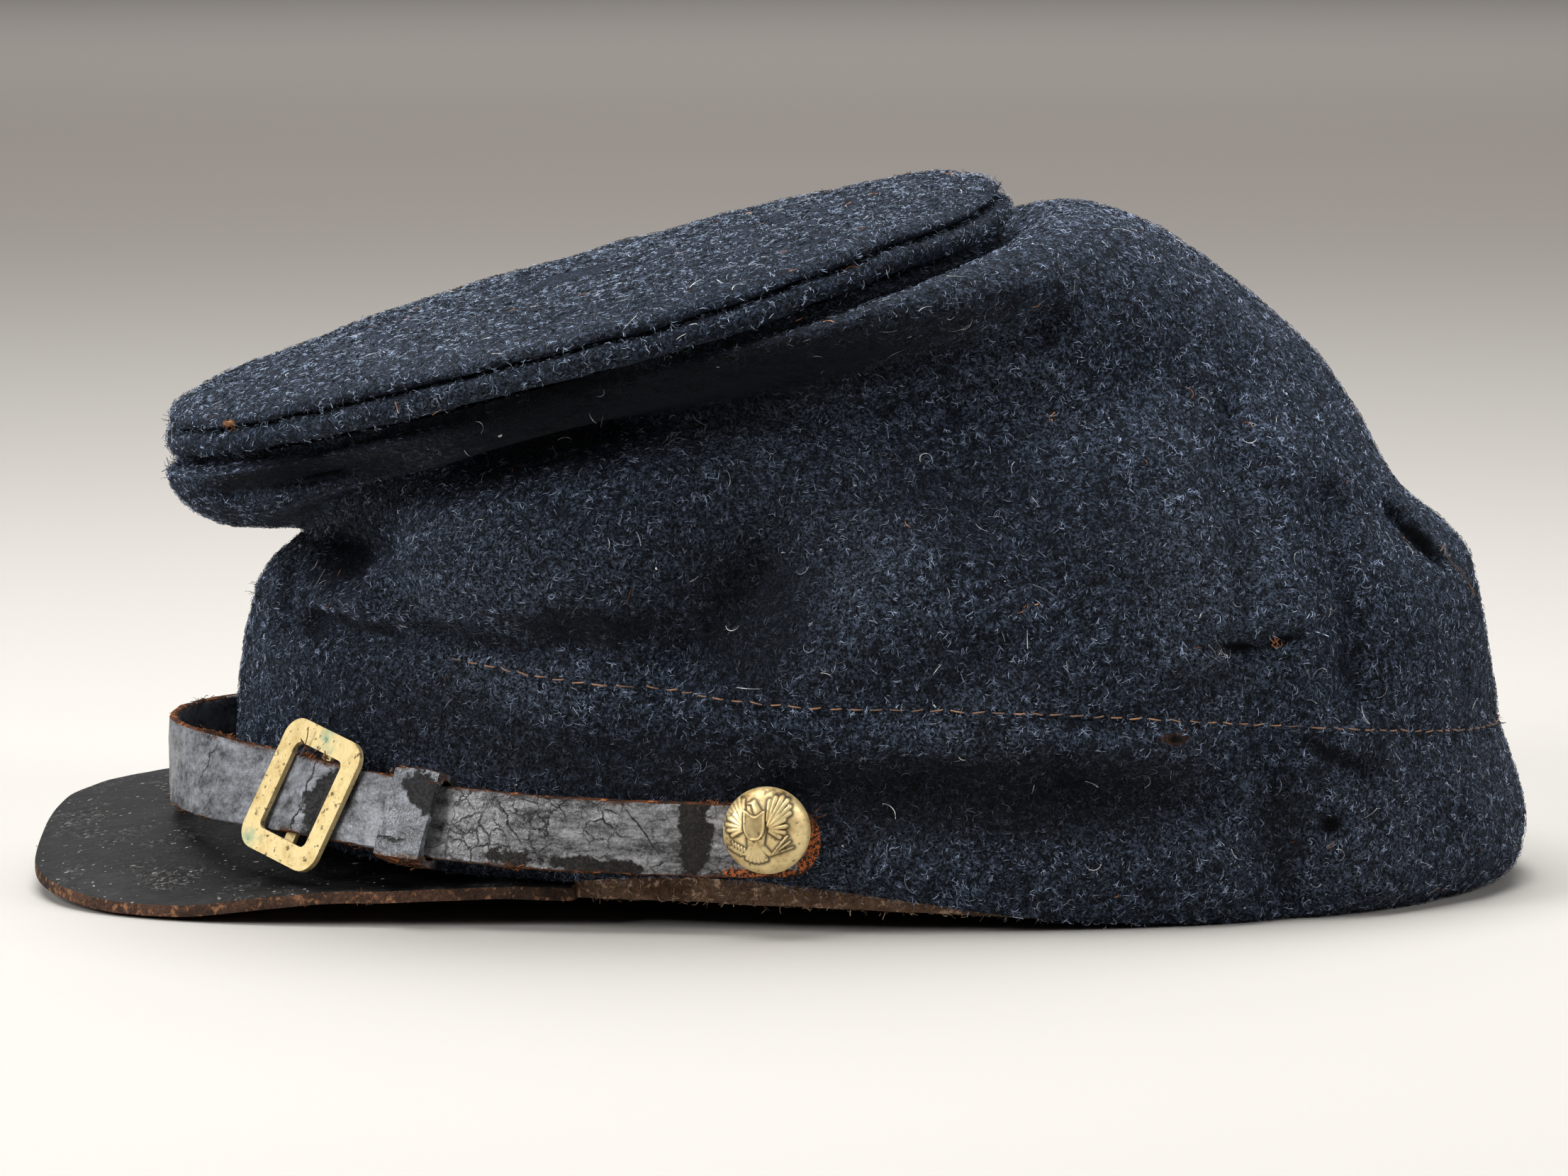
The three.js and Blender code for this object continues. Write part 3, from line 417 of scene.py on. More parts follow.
cloth_folds = [
    # name, side, route of x and z, width, push out, in millimetres
    ("crease under the roll", -1, [(-80, 73), (-66, 75), (-50, 76.5), (-40, 79), (-31, 81.5)], 4.2, -4.4),
    ("crease under the roll, middle", -1, [(-31, 81.5), (-14, 85.5), (-3, 88)], 5.0, -6.0),
    ("crease under the roll, behind", -1, [(9, 90.5), (25, 94), (43, 98)], 3.8, -5.0),
    ("roll of the front lip", -1, [(-96, 75), (-84, 78.5), (-66, 82)], 4, 1.2),
    ("roll behind it", -1, [(-24, 93), (0, 97), (22, 101.5), (44, 105.5)], 4.2, 3.0),
    ("pocket in front", -1, [(-95, 69), (-88, 71), (-77, 74.5)], 2.6, -3.6),
    ("swell between pocket and roll", -1, [(-76, 66), (-62, 68), (-46, 68)], 4.5, 1.6),
    ("crease up the front", -1, [(-83, 62), (-84, 54), (-84, 46)], 2.4, -3.0),
    ("knob", -1, [(-76, 51), (-69, 51), (-66, 56)], 3.4, 3.4),
    ("dimple", -1, [(-78, 58.5), (-73.5, 57.5)], 4.2, -6.0),
    ("hollow behind the knob", -1, [(-62, 54), (-59, 49)], 3.2, -1.8),
    ("lit swell", -1, [(-60, 60), (-47, 60), (-30, 60)], 7.0, 3.8),
    ("slanting dent", -1, [(-20, 43), (-11, 49), (-5, 59)], 7.5, -6.2),
    ("ridge before the dent", -1, [(-32, 46), (-26, 53), (-20, 63)], 4.5, 1.8),
    ("crease over the stitches", -1, [(-79, 47.5), (-66, 46.8), (-50, 47), (-32, 46)], 3.0, -4.2),
    ("ridge behind the dent", -1, [(6, 44), (14, 55), (22, 64)], 7, 2.6),
    ("hollow in the middle", -1, [(28, 74), (38, 60)], 8, -2.8),
    ("hollow low in the middle", -1, [(32, 46), (46, 50)], 5, -2.0),
    ("upright ripple", -1, [(74, 82), (74, 60), (75, 44)], 3.4, -2.4),
    ("upright ridge", -1, [(81, 78), (83, 58), (84, 42)], 3.4, 2.0),
    ("second ripple", -1, [(91, 68), (93, 50), (94, 36)], 3.2, -2.4),
    ("lip over the stitches", -1, [(29, 37.5), (38, 36.5)], 2.4, 1.0),
    ("slack below the roll's end", -1, [(48, 92), (60, 78)], 8, 1.6),
    ("open back seam", -1, [(102.5, 64), (106, 60.2), (109.5, 56.6)], 1.7, -4.6),
    ("its outer lip", -1, [(104, 70), (109.5, 65), (113.5, 58), (115, 52)], 4.0, 1.5),
    ("tear", -1, [(71, 45.8), (77, 45.6), (84, 47.4)], 1.3, -1.6),
    ("upper lip of the tear", -1, [(74, 48.6), (84, 50.4)], 2.0, 0.9),
    ("gash under the seam", -1, [(85, 30.5), (95, 25)], 1.8, -1.8),
    ("hole behind", -1, [(89.5, 16.4), (90.5, 15.2)], 1.6, -1.6),
    ("crease under the roll, right", 1, [(-78, 72), (-50, 76.5), (-20, 84), (10, 90), (40, 97)], 4, -3.6),
    ("roll over it, right", 1, [(-70, 82), (-24, 93), (10, 99), (44, 105)], 5, 1.8),
    ("dent at the right side", 1, [(-35, 45), (-10, 62)], 9, -3.4),
    ("swell at the right side", 1, [(-60, 60), (-40, 62)], 9, 2.2),
    ("fold at the right back", 1, [(60, 80), (72, 50)], 5, -2.8),
    ("ridge at the right back", 1, [(78, 76), (88, 44)], 6, 2.0),
    ("ridge under the seam", -1, [(14, 31.5), (40, 31), (66, 30)], 3.6, 2.2),
    ("hollow below it", -1, [(2, 23), (35, 22.5), (70, 21)], 5.5, -3.6),
    ("dimple by the hole", -1, [(44, 30), (47, 27)], 3, -1.6),
    ("upright dent at the left back", -1, [(79, 28), (83, 6)], 5, -2.6),
    ("swell behind it", -1, [(97, 26), (100, 8)], 7, 1.4),
    ("hollow over the strap", -1, [(-62, 33), (-35, 29), (-15, 30)], 5, -1.4),
    ("dent at the right", 1, [(10, 28), (-25, 20)], 9, -2.2),
    ("swell at the right of the hem", 1, [(60, 26), (85, 18)], 8, 1.6),
]
welt_hole = ((-92.0, -42.0, 80.6), (1.2, 6, 0.9), 0, "#c08a5c", 0.95)
torn_and_shaded_places = [
    # centre x, y, z, half size x, y, z, slant, in millimetres and degrees, colour, strength
    # tears, holes and the open back seam
    ((74.0, -61.5, 45.7), (4.0, 12, 1.1), 3, "#010102", 1.0),
    ((81.5, -58, 46.6), (3.6, 12, 0.9), -14, "#020203", 0.95),
    ((63.2, -65.1, 31.7), (2.4, 12, 1.1), 4, "#3d2410", 0.95),
    ((90.0, -55.5, 15.8), (2.6, 12, 1.6), -30, "#010102", 1.0),
    welt_hole,
    ((106.4, -25.0, 59.9), (5.4, 9, 1.7), 43, "#010102", 1.0),
    # painted shade under the roll, in its creases, dents, hollows and ripples, and low on the band
    ((-20.0, -60.0, 88.8), (58, 24, 8.6), -10, "#010203", 0.98),
    ((-42.0, -55.0, 78.5), (16, 20, 5.0), -10, "#010203", 0.85),
    ((-74.0, -50.0, 75.0), (17, 20, 3.6), -5, "#020305", 0.9),
    ((-5.0, -66.0, 50.5), (14, 16, 12.5), -25, "#03050a", 0.8),
    ((-31.0, -62.0, 49.8), (15, 14, 4.2), 0, "#020306", 0.85),
    ((-54.0, -60.0, 46.8), (16, 14, 2.2), 6, "#020306", 0.7),
    ((-72.0, -45.0, 47.2), (12, 20, 1.4), 8, "#020306", 0.8),
    ((-74.5, -35.0, 57.8), (7.6, 20, 5.4), -20, "#020306", 0.9),
    ((-84.0, -25.0, 52.0), (1.6, 20, 7.5), 0, "#020306", 0.6),
    ((-86.0, -42.0, 72.2), (12.0, 20, 2.4), -15, "#020305", 0.92),
    ((36.0, -68.0, 22.5), (44, 14, 9.0), 0, "#020305", 0.8),
    ((-14.0, -64.0, 27.0), (42, 14, 8.5), 0, "#020305", 0.68),
    ((82.0, -55.0, 16.0), (6, 14, 10), 5, "#020305", 0.6),
    ((-79.0, -38.0, 46.5), (3.5, 20, 3.0), 0, "#020305", 0.8),
    ((-66.0, -52.0, 34.0), (34, 24, 9.0), 8, "#020305", 0.5),
    ((-6.0, -66.0, 66.0), (40, 20, 12), -10, "#03050a", 0.35),
    ((40.0, -62.0, 66.0), (26, 14, 14), 20, "#03050a", 0.42),
    ((30.0, -68.0, 44.0), (28, 14, 6), 0, "#03050a", 0.4),
    ((93.0, -50.0, 46.0), (2.4, 20, 9), 0, "#03050a", 0.45),
    ((75.0, -60.0, 60.0), (2.6, 20, 12), 0, "#03050a", 0.35),
    ((24.0, -50.0, 103.0), (34, 24, 6.0), -8, "#03050a", 0.3),
    ((97.0, -45.0, 26.0), (3.4, 20, 7.0), 12, "#03050a", 0.6),
    # the gash under the seam and the middle of the hole
    ((90.0, -52.0, 27.4), (6.5, 16, 1.4), 28, "#020203", 0.85),
    ((63.6, -65.0, 31.8), (1.1, 12, 0.6), 4, "#050302", 1.0),
    # painted shade round the gash, the hole and the seam
    ((88.0, -55.0, 24.0), (2.2, 14, 5.0), 20, "#03050a", 0.5),
    ((52.0, -66.0, 35.6), (11, 14, 1.7), 2, "#03050a", 0.5),
    ((68.0, -62.0, 40.0), (9, 14, 3.0), 0, "#03050a", 0.45),
    ((33.0, -68.0, 33.0), (3.0, 14, 3.4), 20, "#03050a", 0.5),
]
body_wool = napped_wool("indigo_broadcloth", "#04060a", "#6b7b96", "#828a99", torn_and_shaded_places)
shapes = {node: smoothed(cad_shape(node), 1.0) for node in ("band", "crown")}
# Along the seam the two are drawn together by a tenth of a millimetre each
seam_reach = 0.0006
for node, closing in [("band", 0.0001), ("crown", -0.0001)]:
    for corner in shapes[node].verts:
        along = Vector(((corner.co.x - head_middle) / head_length, corner.co.y / head_width))
        if abs(corner.co.z - seam_height(along.normalized().x)) < seam_reach:
            corner.co.z += closing
cloth_trees = [BVHTree.FromBMesh(shape) for shape in shapes.values()]
cloth_bends = [bend_along(cloth_trees, *fold) for name, *fold in cloth_folds]
for shape in shapes.values():
    folded(shape, cloth_bends)
    for corner in shape.verts:
        slack = bumps(corner.co, 45, 2) + 0.6 * bumps(corner.co, 170, 2)
        corner.co += 0.0008 * slack * outward_at(corner.co)
        corner.co.z = max(floor_gap / 2, corner.co.z)
band = place_piece(shapes["band"], "band_wool", [body_wool], ["band"])
crown = place_piece(shapes["crown"], "crown_wool", [body_wool], ["crown"])

# Welt and round top
# A flat disc of cloth, stiffened by its own layers, with a folded strip of the cloth sewn round
# its edge.
# The top and welt take a darker copy of the broadcloth than the band and crown: painted shade on the top,
# which the overhead lamp lights most, and painted light on the sides.
top_wool = napped_wool("top_broadcloth", "#05070c", "#516078", "#6f7785", [welt_hole])
welt_shape = smoothed(cad_shape("welt"), 0.4)
top_shape = smoothed(cad_shape("top_disc"), 0.4)
for shape in (welt_shape, top_shape):
    for corner in shape.verts:
        corner.co.z += 0.0011 * bumps(corner.co, 30, 2) + 0.0004 * bumps(corner.co, 130, 2)
welt = place_piece(welt_shape, "welt_wool", [top_wool], ["welt"])
top = place_piece(top_shape, "top_wool", [top_wool], ["top_disc"])

# Nap and lint
# Loose ends of the cloth's own fibres stand out of it all over, finer than a hair and drawn
# thicker so that they show. Pale curls of lint and a few red and brown ones lie on it.


def fibre_material(name, dark, pale, torn_and_shaded_places):
    """Single fibres: matt, each its own shade, dark over the cloth's tears, and darkened by painted shade
    where the cloth below is.
    """
    made, tree = new_material(name)
    place = add_node(tree, "TexCoord", output="Object")
    shade = add_node(tree, "TexNoise", {"Vector": place, "Scale": 700, "Detail": 2})
    share = add_node(tree, "MapRange", {"Value": shade, "From Min": 0.47, "From Max": 0.66})
    colour = add_node(tree, "Mix", {0: share, 6: linear(dark), 7: linear(pale)}, 2, data_type="RGBA")
    colour = with_torn_and_shaded_places(tree, place, colour, torn_and_shaded_places)
    finish = {"Base Color": colour, "Roughness": 0.8, "Specular IOR Level": 0.3}
    add_node(tree, "OutputMaterial", {"Surface": add_node(tree, "BsdfPrincipled", finish)})
    return made


def piece_of_curve(name, line, material):
    """Makes the surface of a curve a piece of the cap."""
    holder = add_object(name, line)
    mesh = bpy.data.meshes.new_from_object(holder)
    mesh.name = name
    bpy.data.objects.remove(holder)
    mesh.materials.clear()
    mesh.materials.append(material)
    return add_piece(name, mesh)


def ribbons(name, routes, tilts, thickness, material):
    """A piece of many narrow ribbons, one along each route of places, turned by its tilt."""
    line = bpy.data.curves.new(name, "CURVE")
    line.dimensions = "3D"
    line.extrude = thickness / 2
    for places, tilt in zip(routes, tilts):
        ribbon = line.splines.new("POLY")
        ribbon.points.add(len(places) - 1)
        whole = np.concatenate([places, np.ones((len(places), 1))], 1).astype(np.float32)
        ribbon.points.foreach_set("co", whole.ravel())
        ribbon.points.foreach_set("tilt", [tilt] * len(places))
    return piece_of_curve(name, line, material)


def outer_faces(centres, normals, marks):
    """The share of fibres that each face takes: none inside the head."""
    away = centres - np.array((head_middle, 0, 0.035))
    return (normals * away).sum(1) > -0.3 * np.linalg.norm(away, axis=1)


def strewn(name, pieces, count, length, thickness, curl, lift, points, material, slot, seed, shares):
    """Fibres strewn over some pieces, each a narrow ribbon that bends as it goes. Its root is
    sunk in the cloth, and no fibre goes through the floor."""
    root_depth = 0.00012
    drawn = np.random.default_rng(seed)
    centres, normals, areas, marks = [], [], [], []
    for piece in pieces:
        faces = piece.data.polygons
        for kept, key, width in [
            (centres, "center", 3),
            (normals, "normal", 3),
            (areas, "area", 1),
            (marks, "material_index", 1),
        ]:
            values = np.empty(len(faces) * width, np.int32 if key == "material_index" else np.float32)
            faces.foreach_get(key, values)
            kept.append(values.reshape(-1, width).astype(float))
    centres, normals = np.concatenate(centres), np.concatenate(normals)
    areas, marks = np.concatenate(areas)[:, 0], np.concatenate(marks)[:, 0]
    weights = areas * shares(centres, normals, marks)
    chosen = drawn.choice(len(areas), count, p=weights / weights.sum())
    start, normal = centres[chosen], normals[chosen]
    spread = np.sqrt(areas[chosen])[:, None]
    along = np.cross(normal, drawn.normal(size=(count, 3)))
    along /= np.linalg.norm(along, axis=1, keepdims=True)
    across = np.cross(normal, along)
    slide = drawn.uniform(-0.6, 0.6, (2, count, 1))
    place = start + spread * (slide[0] * along + slide[1] * across) - root_depth * normal
    reach = length * drawn.uniform(0.5, 1.5, (count, 1)) / (points - 1)
    turn = curl * drawn.uniform(-1, 1, (count, 1))
    height = lift * drawn.uniform(0.2, 1.0, (count, 1))
    route = [place]
    for step in range(1, points):
        share = step / (points - 1)
        place = place + reach * (np.cos(turn * share) * along + np.sin(turn * share) * across)
        route.append(place + height * np.sin(share * 2.2) * normal)
    for places in route:
        places[:, 2] = np.maximum(places[:, 2], thickness)
    tilts = drawn.uniform(0, math.pi, count)
    return ribbons(name, np.stack(route, 1), tilts, thickness, material)


def surface_of(pieces):
    """The faces of some pieces together, to find places on."""
    joined = bmesh.new()
    for piece in pieces:
        joined.from_mesh(piece.data)
    tree = BVHTree.FromBMesh(joined)
    joined.free()
    return tree


nap_wool = fibre_material("wool_fibre", "#0c121c", "#a5b5d1", torn_and_shaded_places)
top_fibre = fibre_material("top_wool_fibre", "#10161f", "#9babc3", [welt_hole])
lint_pale = fibre_material("pale_lint", "#7b828c", "#d4d4cf", [])
lint_brown = fibre_material("brown_lint", "#7a4a30", "#c08a5c", [])
nap = {"length": 0.0013, "thickness": 0.00009, "curl": 1.8, "lift": 0.0006, "points": 3}
fine = 1
for name, pieces, slot, count, fibre, seed in [
    ("crown_nap", [crown], "wool_crown", 43000, nap_wool, 11),
    ("crown_second_nap", [crown], "wool_crown", 39000, nap_wool, 21),
    ("band_nap", [band], "wool_band", 42000, nap_wool, 12),
    ("top_nap", [top, welt], "wool_top", 39000, top_fibre, 13),
]:
    count = int(count * fine)
    strewn(name, pieces, count, material=fibre, slot=slot, seed=seed, shares=outer_faces, **nap)
cloth = [crown, band, top, welt]
for name, count, length, thickness, curl, lift, points, fibre, seed in [
    ("lint", 800, 0.0034, 0.00011, 3.8, 0.0006, 8, lint_pale, 14),
    ("white_specks", 260, 0.0006, 0.0003, 0.5, 0.0004, 3, lint_pale, 16),
    ("brown_lint", 170, 0.0022, 0.00013, 2.5, 0.0006, 6, lint_brown, 15),
]:
    bits = (length, thickness, curl, lift, points, fibre)
    strewn(name, cloth, count, *bits, "wool_crown", seed, outer_faces)

# Tufts and flecks
# Small tangles of pulled fibres stand in and round the tear and the holes in the cloth, and a few
# brown flecks of them stick to the crown and the welt.
tufts = [
    # name, place, size, number, length, thickness, material, with lengths in millimetres
    ("tear_lining", (81, -57.8, 46.6), 0.9, 14, 0.9, 0.2, lint_brown),
    ("tear_lining_behind", (86, -53.8, 46.1), 0.9, 12, 0.9, 0.2, lint_brown),
    ("tear_fuzz", (84.0, -55.0, 48.4), 3.4, 60, 1.3, 0.12, nap_wool),
    ("tear_fringe", (71.3, -62.3, 45.2), 1.8, 22, 1.6, 0.1, lint_pale),
    ("hole_rim", (64.5, -65.0, 31.4), 0.8, 8, 0.9, 0.16, lint_brown),
    ("orange_fleck", (39.7, -70.0, 53.8), 0.6, 12, 0.9, 0.2, lint_brown),
    ("upper_fleck", (44.5, -60.0, 86.5), 0.6, 9, 0.9, 0.2, lint_brown),
    ("welt_fleck", (-92.2, -42.6, 80.6), 0.4, 10, 0.6, 0.2, lint_brown),
]


def strands(drawn, number, centre, spread, pull, scatter, lean, curl, length):
    """The routes of some strands that start within a spread of a place. Each is pulled one way
    with some scatter, and leans and curls over a length in millimetres."""
    routes = []
    for strand in range(number):
        start = centre + Vector(drawn.normal(0, spread, 3))
        way = (Vector(drawn.normal(0, scatter, 3)) + pull).normalized()
        bend = Vector(drawn.normal(0, curl, 3)) + lean
        steps = [0.0005 * length * (way * t + bend * t * t) for t in (0, 0.5, 1.0, 1.5, 2.0)]
        routes.append(np.array([start + step for step in steps]))
    return routes


straight = Vector((0, 0, 0))
tuft_root = 0.0005  # how deep a tuft starts in the cloth
cloth_surface = surface_of(cloth)
for name, place, size, number, length, thickness, material in tufts:
    drawn = np.random.default_rng(len(name))
    centre = cloth_surface.find_nearest(0.001 * Vector(place))[0]
    out = outward_at(centre)
    root = centre - tuft_root * out
    routes = strands(drawn, number, root, 0.00045 * size, 0.8 * out, 1, straight, 0.5, length)
    ribbons(name, routes, drawn.uniform(0, 3, number), 0.001 * thickness, material)

# Seam stitches
# A row of running stitches in waxed linen thread joins the crown to the band. Only the upper
# half of each stitch shows, pulled a little into the cloth. In front they sink out of sight.
stitch_pitch = 0.0033
stitch_length = 0.0026
stitch_thread = 0.00014  # the thread's half thickness
stitch_lifts = [-0.0003, 0.00018, 0.00028, 0.00018, -0.0003]  # how far it stands off the cloth
stitch_drift = 0.00012
stitches_start = -0.056  # no stitch shows in front of this
# The thread is a dull brown of two shades that change as it twists, and greyer where it has aged.
thread, tree = new_material("waxed_linen_thread")
place = add_node(tree, "TexCoord", output="Object")
twist = add_node(tree, "TexNoise", {"Vector": place, "Scale": 1800, "Detail": 2})
age = add_node(tree, "TexNoise", {"Vector": place, "Scale": 150, "Detail": 1})
dull = add_node(tree, "MapRange", {"Value": age, "From Min": 0.42, "From Max": 0.6})
colour = add_node(tree, "Mix", {0: twist, 6: linear("#6b4733"), 7: linear("#cb9c78")}, 2, data_type="RGBA")
colour = add_node(tree, "Mix", {0: dull, 6: colour, 7: linear("#6b5547")}, 2, data_type="RGBA")
shader = add_node(tree, "BsdfPrincipled", {"Base Color": colour, "Roughness": 0.6})
add_node(tree, "OutputMaterial", {"Surface": shader})


def on_seam(tree, angle):
    """The place on the outside of the cloth at the seam, and the way out of it."""
    out = Vector((head_length * math.cos(angle), -head_width * math.sin(angle), 0))
    start = Vector((head_middle, 0, seam_height(math.cos(angle)) + 0.0004)) + 2 * out
    found = tree.ray_cast(start, -out.normalized())
    return found[0], outward_at(found[0])


seam_tree = surface_of([crown, band])
seam_line = bpy.data.curves.new("seam_stitches", "CURVE")
seam_line.dimensions = "3D"
seam_line.bevel_depth = stitch_thread
seam_line.bevel_resolution = 1
angle = 0.0
chance = random.Random(5)
while angle < 2 * math.pi:
    step = 1 / math.hypot(head_length * math.sin(angle), head_width * math.cos(angle))
    drift = chance.uniform(-stitch_drift, stitch_drift)
    shown = chance.uniform(0.82, 1.0) * stitch_length
    if head_middle + head_length * math.cos(angle) > stitches_start:
        stitch = seam_line.splines.new("POLY")
        stitch.points.add(4)
        for i, lift in enumerate(stitch_lifts):
            place, out = on_seam(seam_tree, angle + step * shown * i / 4)
            stitch.points[i].co = (*(place + lift * out + Vector((0, 0, drift * (i - 2)))), 1)
    angle += step * stitch_pitch
piece_of_curve("seam_stitches", seam_line, thread)

# The end of the back seam's thread hangs out where the seam has come open.
loose_end = [(110, 57.5), (111, 58.6), (110.8, 57.0), (112, 55.2), (113.5, 54.0), (115, 51.8), (116, 49.5)]
thread_lift = 0.0006
thread_width = 0.0003
route = []
for x, z in loose_end:
    place = on_cloth([seam_tree], x, z, -1)
    route.append(place + thread_lift * outward_at(place))
for name, tilt in [("loose_thread0", 0.0), ("loose_thread1", 1.5)]:
    ribbons(name, [np.array(route)], [tilt], thread_width, thread)

# Chin strap
# Two lengths of thin black leather. One runs from the right button round the front and
# through the buckle to the keeper, and the other from the left button to behind the buckle.
# The keeper is a loop of the same leather round both.


def strap_leather(name, base, pale, gloss, crazed, splits, bare_and_shaded_places):
    """Glazed black strap leather: satin, its glaze crazed into plates two or three millimetres
    across where it has bent, split along some lines, rubbed through to brown along the edges and
    in some places, and darkened by painted shade in others."""
    made, tree = new_material(name)
    place = add_node(tree, "TexCoord", output="Object")
    stray = 0.003
    bent = strayed(tree, place, stray, {"Scale": 330, "Detail": 4, "Roughness": 0.6})
    kinds = {"feature": "DISTANCE_TO_EDGE"}
    plates = add_node(tree, "TexVoronoi", {"Vector": bent, "Scale": 330}, **kinds)
    chips = add_node(tree, "TexVoronoi", {"Vector": bent, "Scale": 800}, **kinds)
    worn = add_node(tree, "TexNoise", {"Vector": place, "Scale": 130, "Detail": 5, "Roughness": 0.7})
    grit = add_node(tree, "TexNoise", {"Vector": place, "Scale": 1700, "Detail": 3, "Roughness": 0.7})
    where = {"Value": worn, "From Min": 0.43, "From Max": 0.56, "To Min": 0.12 * crazed, "To Max": crazed}
    zone = add_node(tree, "MapRange", where)
    wide = add_node(tree, "MapRange", {"Value": plates, "From Min": 0.045, "From Max": 0.018})
    small = add_node(tree, "MapRange", {"Value": chips, "From Min": 0.04, "From Max": 0.015, "To Max": 0.35})
    split = add_node(tree, "Math", {0: wide, 1: small}, operation="MAXIMUM")
    split = add_node(tree, "Math", {0: split, 1: zone}, operation="MULTIPLY")
    for patch in splits:
        reach = patch_reach(tree, bent, stray, *patch)
        line = add_node(tree, "MapRange", {"Value": reach, "From Min": 1.1, "From Max": 0.6})
        split = add_node(tree, "Math", {0: split, 1: line}, operation="MAXIMUM")
    rubs = add_node(tree, "Mapping", {"Vector": place, "Rotation": (0, 0.3, 0), "Scale": (120, 240, 420)})
    rub = add_node(tree, "TexNoise", {"Vector": rubs, "Scale": 1, "Detail": 6, "Roughness": 0.75})
    faded = add_node(tree, "Math", {0: grit, 1: 0.3, 2: rub}, operation="MULTIPLY_ADD")
    faded = add_node(tree, "MapRange", {"Value": faded, "From Min": 0.52, "From Max": 0.82})
    black = add_node(tree, "Mix", {0: faded, 6: linear(base), 7: linear(pale)}, 2, data_type="RGBA")
    colour = add_node(tree, "Mix", {0: split, 6: black, 7: linear("#050403")}, 2, data_type="RGBA")
    rough = add_node(
        tree,
        "MapRange",
        {"Value": worn, "From Min": 0.35, "From Max": 0.65, "To Min": gloss, "To Max": gloss + 0.16},
    )
    # Bare suede where the glaze is rubbed through on the inner strap, and painted shade on the outer strap
    # and the keeper, each patch with its colour
    for *patch, code in bare_and_shaded_places:
        reach = patch_reach(tree, bent, stray, *patch)
        patch_edge = add_node(tree, "Math", {0: worn, 1: 3.6, 2: reach}, operation="MULTIPLY_ADD")
        bare_and_shade = add_node(tree, "MapRange", {"Value": patch_edge, "From Min": 2.85, "From Max": 2.65})
        grit_mottle = add_node(tree, "MapRange", {"Value": grit, "From Min": 0.46, "From Max": 0.56})
        suede_and_shade = {0: grit_mottle, 6: linear("#0a0807"), 7: linear(code)}
        suede_and_shade = add_node(tree, "Mix", suede_and_shade, 2, data_type="RGBA")
        colour = add_node(tree, "Mix", {0: bare_and_shade, 6: colour, 7: suede_and_shade}, 2, data_type="RGBA")
        rough = add_node(tree, "Mix", {0: bare_and_shade, 2: rough, 3: 0.9}, 0)
    margin = add_node(tree, "Attribute", output="Fac", attribute_name="from_edge")
    ragged = add_node(tree, "Math", {0: worn, 1: -0.0045, 2: margin}, operation="MULTIPLY_ADD")
    rubbed = add_node(tree, "MapRange", {"Value": ragged, "From Min": -0.0019, "From Max": -0.0025})
    colour = add_node(tree, "Mix", {0: rubbed, 6: colour, 7: linear("#4a2e1e")}, 2, data_type="RGBA")
    dip = add_node(tree, "Bump", {"Height": split, "Strength": 1.0, "Distance": 0.0005}, invert=True)
    creases = {"Height": worn, "Strength": 0.7, "Distance": 0.0014, "Normal": dip}
    grain = {"Height": grit, "Strength": 0.25, "Distance": 0.0002, "Normal": add_node(tree, "Bump", creases)}
    grained = add_node(tree, "Bump", grain)
    finish = {"Base Color": colour, "Roughness": rough, "Normal": grained}
    add_node(tree, "OutputMaterial", {"Surface": add_node(tree, "BsdfPrincipled", finish)})
    return made


def with_cut_edges(shape, steepness):
    """Marks the faces of a leather piece that look up or down as its cut edges, and notes how far
    each place is from them."""
    shape.normal_update()
    edges = [face for face in shape.faces if abs(face.normal.z) > steepness]
    near = KDTree(max(1, sum(len(face.verts) for face in edges)))
    for face in edges:
        face.material_index = 1
        for corner in face.verts:
            near.insert(corner.co, corner.index)
    near.balance()
    layer = shape.verts.layers.float.new("from_edge")
    for corner in shape.verts:
        corner[layer] = near.find(corner.co)[2] if edges else 1


raw_edge = brown_leather("strap_raw_edge", "#1d1511", "#6e4026", "#b06a3a")
inner_splits = [
    # centre, half size, slant
    ((-23, -71, 17), (5.5, 9, 0.2), 52),
    ((-45, -68, 18), (4.5, 9, 0.2), 60),
]
inner_bare = [
    # centre, half size, slant, colour
    ((-14.6, -73, 17.0), (2.2, 9, 8.5), 4, "#231f1d"),
    ((-45.0, -68, 12.6), (6.0, 9, 1.6), 4, "#282320"),
    ((-31.0, -70, 11.0), (7.0, 9, 1.4), 4, "#282320"),
    ((-21.0, -72, 22.6), (4.0, 9, 0.8), 0, "#282320"),
    ((-38.0, -69, 22.8), (3.0, 9, 0.7), 0, "#3a2a20"),
    ((5.5, -74, 16.5), (3.6, 9, 9.5), 0, "#c0662e"),
    ((-3.0, -74, 9.6), (9.5, 9, 2.2), 0, "#b86430"),
]
outer_splits = [((-97, -35, 22), (0.14, 12, 5), 22), ((-79.3, -52, 20.5), (0.17, 12, 8), 22)]
# painted shade over the right half of the strap in the buckle's window, where it turns from the light
outer_painted_shade = [((-75.6, -54, 20), (3.0, 12, 9), 22, "#2a2a2c")]
keeper_splits = [((-64.2, -58, 15.1), (2.8, 12, 0.35), 0)]
